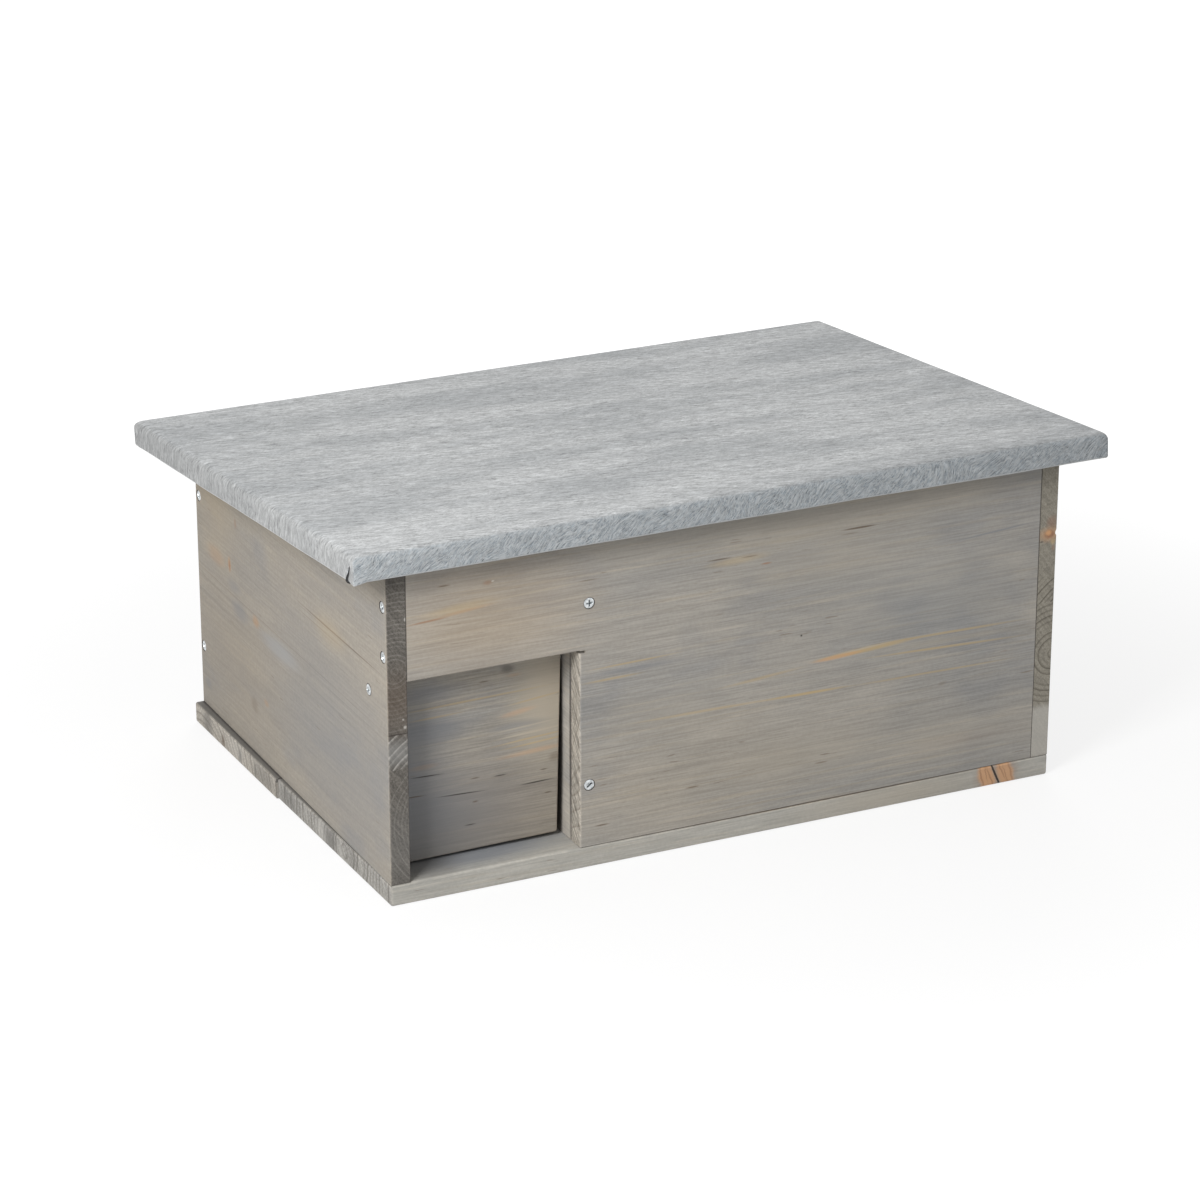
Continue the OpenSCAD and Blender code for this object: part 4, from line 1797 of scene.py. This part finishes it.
# The tints by their bare names, in the order of their class
CREAM, OCHRE, ORANGE, RUST, BROWN, SLATE, ASH, SOOT, CHALK, UMBER, AMBER, SMOKE, MIST = Tint
FRONT_PANEL = PineFinish(
    "pine_front_panel", Grain.ALONG_X, Side.FRONT, (0.40, 0.373, 0.333), (0.335, 0.322, 0.30),
    end_pale=(0.50, 0.463, 0.405), end_deep=(0.34, 0.312, 0.27), end_line=(0.22, 0.19, 0.155), saw=0.42,
    staves=(Stave(0.0, -110.0, 96.0, 4.2, 7.0),),
    marks=(
        # The broad cream patch along the panel's top is painted light: it lightens the strip in the shade
        # under the roof's edge
        *on_face((-150, 160, 95, 60, ORANGE, 0.10), (60, 182, 200, 20, CREAM, 0.32),
                 (120, 130, 110, 55, ASH, 0.35), softness=1.0),
        *on_face((-60, 114, 42, 2.6, SLATE, 0.35), (-60, 117.8, 36, 0.9, OCHRE, 0.60, 1.0),
                 (-74, 110.2, 24, 1.1, OCHRE, 0.55, 1.0)),
        Mark(84, 99.6, 42, 2.2, OCHRE, 0.8, 2.4, softness=0.7, fray=0.4),
        Mark(66, 98.4, 20, 1.7, AMBER, 0.5, 3.0, softness=0.6, fray=0.4),
        Mark(84, 100.6, 26, 0.8, CREAM, 0.7, 3.0, fray=0.4),
        *on_face((138, 100.8, 62, 1.2, OCHRE, 0.60, -0.8), (134, 92.3, 66, 1.1, OCHRE, 0.65, -2.2),
                 fray=0.6),
        Mark(130, 96.5, 60, 3.6, CREAM, 0.30, -1.0),
        *on_face((18, 94.2, 34, 1.4, OCHRE, 0.45, 4.0), (46, 79.7, 36, 1.3, OCHRE, 0.85, -0.8), fray=0.6),
        *on_face((-15, 80.7, 62, 1.2, OCHRE, 0.50, -0.8), (128, 78.2, 68, 1.0, OCHRE, 0.50, -0.8)),
        Mark(-164, 166.6, 30, 4.2, OCHRE, 0.34, 5.0, fray=0.6),
        Mark(-160, 164.6, 24, 1.4, ORANGE, 0.32, 5.0, fray=0.5),
        Mark(-182, 162.2, 16, 0.8, RUST, 0.75, 3.0, fray=0.4),
        Mark(-118, 168.6, 42, 0.9, CREAM, 0.45, 2.0, fray=0.6),
        *on_face((-147.5, 178.4, 4.0, 2.0, RUST, 0.45), (-144.6, 178.8, 1.2, 0.7, CHALK, 0.8),
                 (-173, 180.7, 5.0, 0.7, UMBER, 0.7), fray=0.3),
        Mark(2, 166.5, 26, 3.2, OCHRE, 0.38, 2.0),
        *on_face((-9, 168.8, 11, 0.7, UMBER, 0.75), (20, 161.8, 4.5, 0.8, RUST, 0.9), fray=0.3),
        Mark(78, 173.4, 14, 0.8, UMBER, 0.85, softness=0.6, fray=0.3),
        Mark(72, 170.8, 8, 0.5, UMBER, 0.5, fray=0.3),
        *on_face((10, 167.5, 7, 0.6, UMBER, 0.6), (-88, 170, 8, 0.6, UMBER, 0.5), fray=0.4),
        Mark(165, 157, 34, 0.8, SLATE, 0.6, 4.0, fray=0.5),
        Mark(42.6, 115.1, 1.0, 0.9, SOOT, 0.9, fray=0.0),
        Mark(134.6, 70, 4, 1.6, BROWN, 0.4),
        *on_face((-24, 36, 6, 0.7, UMBER, 0.75), (57, 35.7, 6, 0.7, UMBER, 0.75),
                 (-80, 24, 6, 0.7, UMBER, 0.75), fray=0.4),
        *on_face((150, 33, 55, 7, RUST, 0.08), (140, 36, 80, 24, CREAM, 0.28),
                 (49, 160, 84, 26, CREAM, 0.30), (-44, 84, 60, 20, CREAM, 0.16),
                 (50, 42, 80, 24, CREAM, 0.34), (-30, 45, 120, 55, OCHRE, 0.12),
                 (-150, 160, 90, 50, OCHRE, 0.20), softness=1.0),
    ))
LEFT_WALL = PineFinish(
    "pine_left_wall", Grain.ALONG_Y, Side.LEFT, (0.364, 0.327, 0.275), (0.322, 0.296, 0.261),
    end_pale=(0.158, 0.145, 0.128), end_deep=(0.090, 0.082, 0.072), end_line=(0.38, 0.36, 0.33),
    end_lines=0.55, warmth=0.08, fibre=0.08, streak=0.03, speckle=0.085, saw=0.2,
    staves=(
        Stave(0.0, 165.0, 45.5, 2.2, 3.0, 0.55), Stave(80.0, 165.0, 45.5, 3.3, 3.0, 1.5),
        Stave(100.4, 202.0, 137.0, 2.5, 3.0, 0.62)),
    marks=(
        Mark(0, 100.4, 400, 0.35, BROWN, 0.5, half_depth=30.0, fray=0.2),
        *on_end((-156, 100.4, 6, 0.7, SOOT, 0.8, None, 30.0),
                (-156, 165.5, 4, 1.6, CHALK, 0.6, 195.6, 0.8),
                (-156, 104.0, 4, 1.3, CHALK, 0.8, 196.5, 1.3),
                (-156, 108.5, 4, 0.9, CHALK, 0.7, 197.5, 0.9), fray=0.2),
        *on_end((-156, 90.0, 4, 11.0, ASH, 0.4, 201.0, 20.0)),
        *on_end((-156, 34.0, 6, 40.0, ASH, 0.14, 201.0, 40.0),
                (-156, 120.0, 6, 30.0, UMBER, 0.45, 201.0, 40.0), softness=1.0),
        *on_face((78.6, 118, 3.4, 6.5, ORANGE, 0.50), (78.4, 117, 1.8, 4.8, RUST, 0.65),
                 (67, 147, 2.6, 4.5, RUST, 0.35), fray=0.4),
        *on_face((38, 96.5, 8, 5.0, ORANGE, 0.42), (100, 116, 20, 8, ORANGE, 0.26)),
        Mark(-90, 133.0, 76, 0.7, UMBER, 0.6, softness=0.6, fray=0.6),
        Mark(-60, 128.5, 50, 0.4, BROWN, 0.5, fray=0.6),
        *on_face((64, 94, 18, 9, SLATE, 0.45), (2, 92, 40, 9, MIST, 0.55), (72, 106, 15, 6, SLATE, 0.3),
                 (44, 43, 8, 7, BROWN, 0.45), (25, 51, 5, 3, ORANGE, 0.3), (-76, 131, 34, 12, OCHRE, 0.22),
                 (121, 28, 8, 5, SLATE, 0.35)),
        *on_face((-88, 68, 130, 84, SLATE, 0.42), (75, 60, 110, 75, BROWN, 0.22),
                 (105, 145, 60, 50, OCHRE, 0.2), softness=1.0),
    ))
RIGHT_WALL = PineFinish(
    "pine_right_wall", Grain.ALONG_Y, Side.RIGHT, (0.40, 0.365, 0.32), (0.34, 0.32, 0.295),
    end_pale=(0.34, 0.315, 0.265), end_deep=(0.24, 0.22, 0.18), end_line=(0.11, 0.097, 0.075),
    end_lines=0.75, saw=0.14,
    staves=(
        Stave(0.0, -260.0, 10.0, 30.0, 3.0, 0.2), Stave(46.0, -207.0, 76.0, 3.4, 2.0),
        Stave(108.0, -233.0, 76.0, 2.7, 2.0, 1.2), Stave(124.0, -233.0, 76.0, 7.0, 3.0, 0.4)),
    marks=(
        *on_end((-156, 28, 6, 19, CHALK, 0.5, -201.0, 30.0), softness=0.3),
        *on_end((-156, 156.5, 5, 6.0, RUST, 0.42, -203.0, 5.5), fray=1.4),
        *on_end((-156, 149.4, 6, 6.4, AMBER, 0.5, -202.0, 12.0), softness=0.8, fray=1.6),
        *on_end((-156, 149.6, 6, 3.6, RUST, 0.85, -201.6, 4.6), softness=0.6, fray=1.8),
        *on_end((-156, 150.4, 6, 2.5, AMBER, 0.85, -200.8, 3.0), softness=0.7, fray=1.8),
        *on_end((-156, 144.5, 3, 2.6, OCHRE, 0.6, -204.0, 2.2),
                (-156, 141.0, 3, 2.6, RUST, 0.4, -204.3, 1.6),
                (-156, 145.5, 3, 0.9, SOOT, 0.6, -196.5, 1.8), fray=0.2),
    ))
REAR_WALL = PineFinish(
    "pine_rear_wall", Grain.ALONG_X, Side.FRONT, (0.41, 0.375, 0.33), (0.35, 0.33, 0.30),
    staves=(Stave(0.0, 190.0, 70.0, 4.0),))
PARTITION = PineFinish(
    "pine_partition", Grain.ALONG_Y, Side.LEFT, (0.50, 0.465, 0.41), (0.43, 0.405, 0.37),
    staves=(Stave(0.0, 150.0, 90.0, 4.0),),
    marks=(
        Mark(-143.9, 70, 1.9, 90, SOOT, 0.85, softness=0.7, fray=0.15),
        # Painted shade: darkens the partition's face in the narrow gap behind the flap's front face, where
        # shade falls
        Mark(-127.5, 66, 8.5, 90, SOOT, 0.8, softness=0.5, fray=0.2),
    ))
BASE_FRONT = PineFinish(
    "pine_base_front", Grain.ALONG_X, Side.FRONT, (0.475, 0.458, 0.415), (0.425, 0.413, 0.378),
    end_pale=(0.47, 0.453, 0.42), end_deep=(0.25, 0.238, 0.218), end_line=(0.13, 0.118, 0.104),
    end_lines=0.75, staves=(Stave(0.0, -93.0, 7.0, 4.4, 9.0, 1.1),), warmth=0.12, coolness=0.2, saw=0.2,
    marks=(
        *on_end((-206, 6, 9, 12, SMOKE, 0.55, -12.0, 22.0), (-206, 6, 9, 14, CHALK, 0.4, -60.0, 14.0),
                (-206, 4, 9, 9, CHALK, 0.25, -88.0, 7.0), (-206, 6, 9, 14, SMOKE, 0.35, -104.0, 10.0),
                (-206, 6, 9, 14, SMOKE, 0.65, -72.0, 14.0), softness=0.9),
        # A dark line of painted shade where the left wall stands on the ledge, then a darker strip along
        # the ledge's top beside the wall
        Mark(-206.8, 12.5, 1.2, 2.0, SOOT, 0.65, softness=0.7, depth=0.0, half_depth=900.0, fray=0.1),
        Mark(-209, 12.5, 4.5, 3.0, SMOKE, 0.9, softness=0.4, depth=0.0, half_depth=900.0, fray=0.2),
        # Painted shade on the corridor floor in front of the flap, darkest beside the left wall, where the
        # wall's shadow falls
        Mark(-152, 12.5, 92, 4.0, SLATE, 0.84, depth=-136.0, half_depth=23.0),
        Mark(-182, 12.5, 30, 4.0, SMOKE, 0.55, depth=-140.0, half_depth=24.0),
        Mark(105, 6, 100, 14, CREAM, 0.46, softness=1.0, half_depth=12.0),
        Mark(60, 12.4, 176, 0.9, UMBER, 0.75, softness=0.6, half_depth=3.0, fray=0.2),
        Mark(172, 6, 17.0, 17, RUST, 0.35, 17.0, 0.5, half_depth=12.0),
        *on_face((165.8, 6, 6.4, 15, AMBER, 0.75, 19.0, 0.5), (178.0, 6, 6.4, 15, AMBER, 0.72, 19.0, 0.5),
                 half_depth=9.0, fray=0.7),
        *on_face((162.6, 6, 0.9, 12, RUST, 0.55, 15.0), (165.2, 9, 0.6, 9, RUST, 0.50, 12.0),
                 (168.4, 5, 0.8, 12, RUST, 0.50, 22.0), (175.6, 8, 0.7, 10, RUST, 0.50, 26.0),
                 (178.4, 5, 0.6, 10, RUST, 0.45, 20.0), (181.6, 6, 0.9, 12, RUST, 0.50, 17.0), fray=0.5),
        Mark(171.8, 6, 0.9, 14, SOOT, 0.95, 24.0, 0.5, fray=0.2),
    ))
BASE_REAR = PineFinish(
    "pine_base_rear", Grain.ALONG_X, Side.FRONT, (0.43, 0.40, 0.35), (0.36, 0.34, 0.31),
    end_pale=(0.58, 0.54, 0.478), end_deep=(0.31, 0.285, 0.248), end_line=(0.13, 0.11, 0.092),
    end_lines=0.7, staves=(Stave(0.0, 120.0, -30.0, 4.4, 7.0),), saw=0.14,
    marks=(
        # A darker strip along the ledge's top beside the left wall, then a dark line of painted shade
        # where the wall stands on it
        Mark(-210, 12.5, 6.0, 3.0, SMOKE, 0.9, softness=0.4, depth=0.0, half_depth=900.0, fray=0.2),
        Mark(-206.8, 12.5, 1.2, 2.0, SOOT, 0.65, softness=0.7, depth=0.0, half_depth=900.0, fray=0.1),
        *on_end((-210, 6, 9, 14, SMOKE, 0.4, 18.0, 18.0), softness=0.9),
        *on_end((-210, 4, 9, 6, UMBER, 0.7, 87.0, 4.0), (-210, 5, 9, 7, SMOKE, 0.75, 60.0, 3.5),
                (-210, 5, 9, 7, SMOKE, 0.6, 36.0, 2.5)),
        *on_end((-210, 6, 9, 14, CHALK, 0.26, 66.0, 20.0), softness=1.0),
        *on_end((-210, 6, 9, 14, SMOKE, 0.36, 31.0, 13.0), (-210, 6, 9, 14, SMOKE, 0.6, 112.0, 12.0),
                softness=0.9),
    ))
FLAP = PineFinish(
    "pine_flap", Grain.ALONG_X, Side.FRONT, (0.41, 0.373, 0.318), (0.33, 0.308, 0.272),
    staves=(Stave(0.0, -60.0, 80.0, 3.2),), ring_depth=0.12, fibre=0.2, streak=0.06,
    marks=(
        # Painted shade and light: the brown, slate and smoke patches darken the flap's left side and
        # bottom, where the left wall's shadow and the corridor's shade fall, and the cream patch lightens
        # its upper right, where the light reaches
        *on_face((-150, 34, 100, 60, BROWN, 0.55), (-172, 36, 80, 48, SLATE, 0.55),
                 (-192, 62, 48, 90, SLATE, 0.74), (-188, 34, 60, 42, SMOKE, 0.26),
                 (-130, 20, 90, 34, SMOKE, 0.16), (-104, 98, 38, 60, CREAM, 0.86), softness=1.0),
        *on_face((-176, 112, 34, 10, SLATE, 0.4), (-175, 90, 38, 14, SLATE, 0.55),
                 (-120, 83, 24, 4.5, SLATE, 0.4)),
        *on_face((-145, 103.2, 60, 0.9, OCHRE, 0.5, 1.0), (-140, 106.4, 58, 0.7, CREAM, 0.45, 1.0),
                 (-170, 97, 22, 0.9, OCHRE, 0.42, 1.0), fray=0.6),
        Mark(-121, 91.2, 14, 2.6, AMBER, 0.30, 6.0),
        Mark(-110, 97.5, 24, 0.9, OCHRE, 0.5, 5.0, fray=0.6),
        Mark(-112, 66.5, 28, 2.2, AMBER, 0.28, 3.0),
        *on_face((-108, 71.5, 30, 0.8, OCHRE, 0.6, 3.0), (-112, 74.5, 34, 0.8, OCHRE, 0.6, 3.0),
                 (-112, 78.0, 34, 0.9, CREAM, 0.8, 3.0), (-116, 82.0, 30, 0.8, CREAM, 0.7, 3.0), fray=0.6),
        Mark(-178, 69, 12, 2.4, ORANGE, 0.16),
        Mark(-127.5, 118.0, 6, 3.8, SMOKE, 0.65, fray=0.7),
        Mark(-123.5, 113.5, 7, 1.6, ORANGE, 0.22),
        Mark(-99, 61, 6, 3.6, BROWN, 0.6, fray=0.5),
        *on_face((-141, 112.7, 4.5, 0.6, UMBER, 0.65), (-176, 63.4, 13, 0.6, SOOT, 0.85, -2.0),
                 (-147, 56.8, 3.6, 0.6, UMBER, 0.65), (-132, 55.6, 5.5, 0.6, SOOT, 0.75),
                 (-106, 54.4, 3.2, 0.6, UMBER, 0.7), (-183, 52.4, 8, 0.55, UMBER, 0.75, -2.0),
                 (-155, 49, 19, 0.6, SOOT, 0.85, -2.5), (-110, 47.6, 13, 0.7, SOOT, 0.85, 1.0),
                 (-147, 42.8, 2.6, 0.8, UMBER, 0.65), (-103, 40, 3.4, 0.6, UMBER, 0.75),
                 (-150, 29.6, 4.5, 0.6, SOOT, 0.7), fray=0.4),
    ))
ROOF_BOARD = PineFinish(
    "pine_roof_board", Grain.ALONG_X, Side.FRONT, (0.41, 0.375, 0.33), (0.35, 0.33, 0.30),
    staves=(Stave(0.0, 20.0, 260.0, 4.0),))
BOARD_FINISHES = {
    "base_front_board": BASE_FRONT, "base_rear_board": BASE_REAR, "left_wall": LEFT_WALL,
    "right_wall": RIGHT_WALL, "rear_wall": REAR_WALL, "partition": PARTITION, "front_panel": FRONT_PANEL}


def dress_hinges(frame: Frame, material: Material) -> None:
    """Gives the hinges' leaves and pins their plating.

    Args:
        frame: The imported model.
        material: The plating.
    """
    for part in ("wall_hinge_leaf", "roof_hinge_leaf", "hinge_pin"):
        for side in ("left", "right"):
            node = f"{part}_{side}"
            dress(frame.nodes[node], material)
            LOG.info("%s: plated", node)


def drive_screws(frame: Frame, carcass: Carcass, material: Material) -> None:
    """Models all the screws, and sinks their holes into the boards that their heads lie in.

    Args:
        frame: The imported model.
        carcass: The boards.
        material: The screws' plating.
    """
    low, high = frame.corners("left_wall")
    depth = high.x - low.x + 2 * PAST
    leaf = {"head_d": 4.8 * MM, "shank_d": 2.5 * MM, "recess": 1.1 * MM}
    pivot = {"shank_d": 4.0 * MM}
    sets = (
        (Screws(frame, "left_wall_screws", "house", LEFT), ["left_wall"]),
        (Screws(frame, "right_wall_screws", "house", RIGHT), ["right_wall"]),
        (Screws(frame, "partition_screws", "house", FRONT), ["front_panel"]),
        (Screws(frame, "base_screws", "house", DOWN), ["base_front_board", "base_rear_board"]),
        (Screws(frame, "flap_pivot_screw_left", "flap", LEFT, **pivot), ["left_wall"]),
        (Screws(frame, "flap_pivot_screw_right", "flap", RIGHT, **pivot), ["partition"]),
        (Screws(frame, "wall_leaf_screws", "house", BACK, **leaf), []),
        (Screws(frame, "roof_leaf_screws", "roof", -frame.slope_normal(), **leaf), []),
    )
    for screws, boards in sets:
        screws.build(material)
        for board in boards:
            cut_away(carcass.pieces[board], screws.holes(depth))


def main() -> None:
    """Builds the house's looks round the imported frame."""
    logging.basicConfig(level=logging.INFO, format="%(message)s")
    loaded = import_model()
    frame = Frame(loaded["nodes"])
    screw_zinc = ZincFinish("zinc_screws").material()
    hinge_zinc = ZincFinish("zinc_hinges", polish=0.34).material()
    carcass = Carcass(frame)
    carcass.build(BOARD_FINISHES)
    Flap(frame).build(FLAP)
    FeltRoof(frame).build(FeltFinish(), ROOF_BOARD, hinge_zinc)
    dress_hinges(frame, hinge_zinc)
    drive_screws(frame, carcass, screw_zinc)
    Studio().build()


if __name__ == "__main__":
    main()
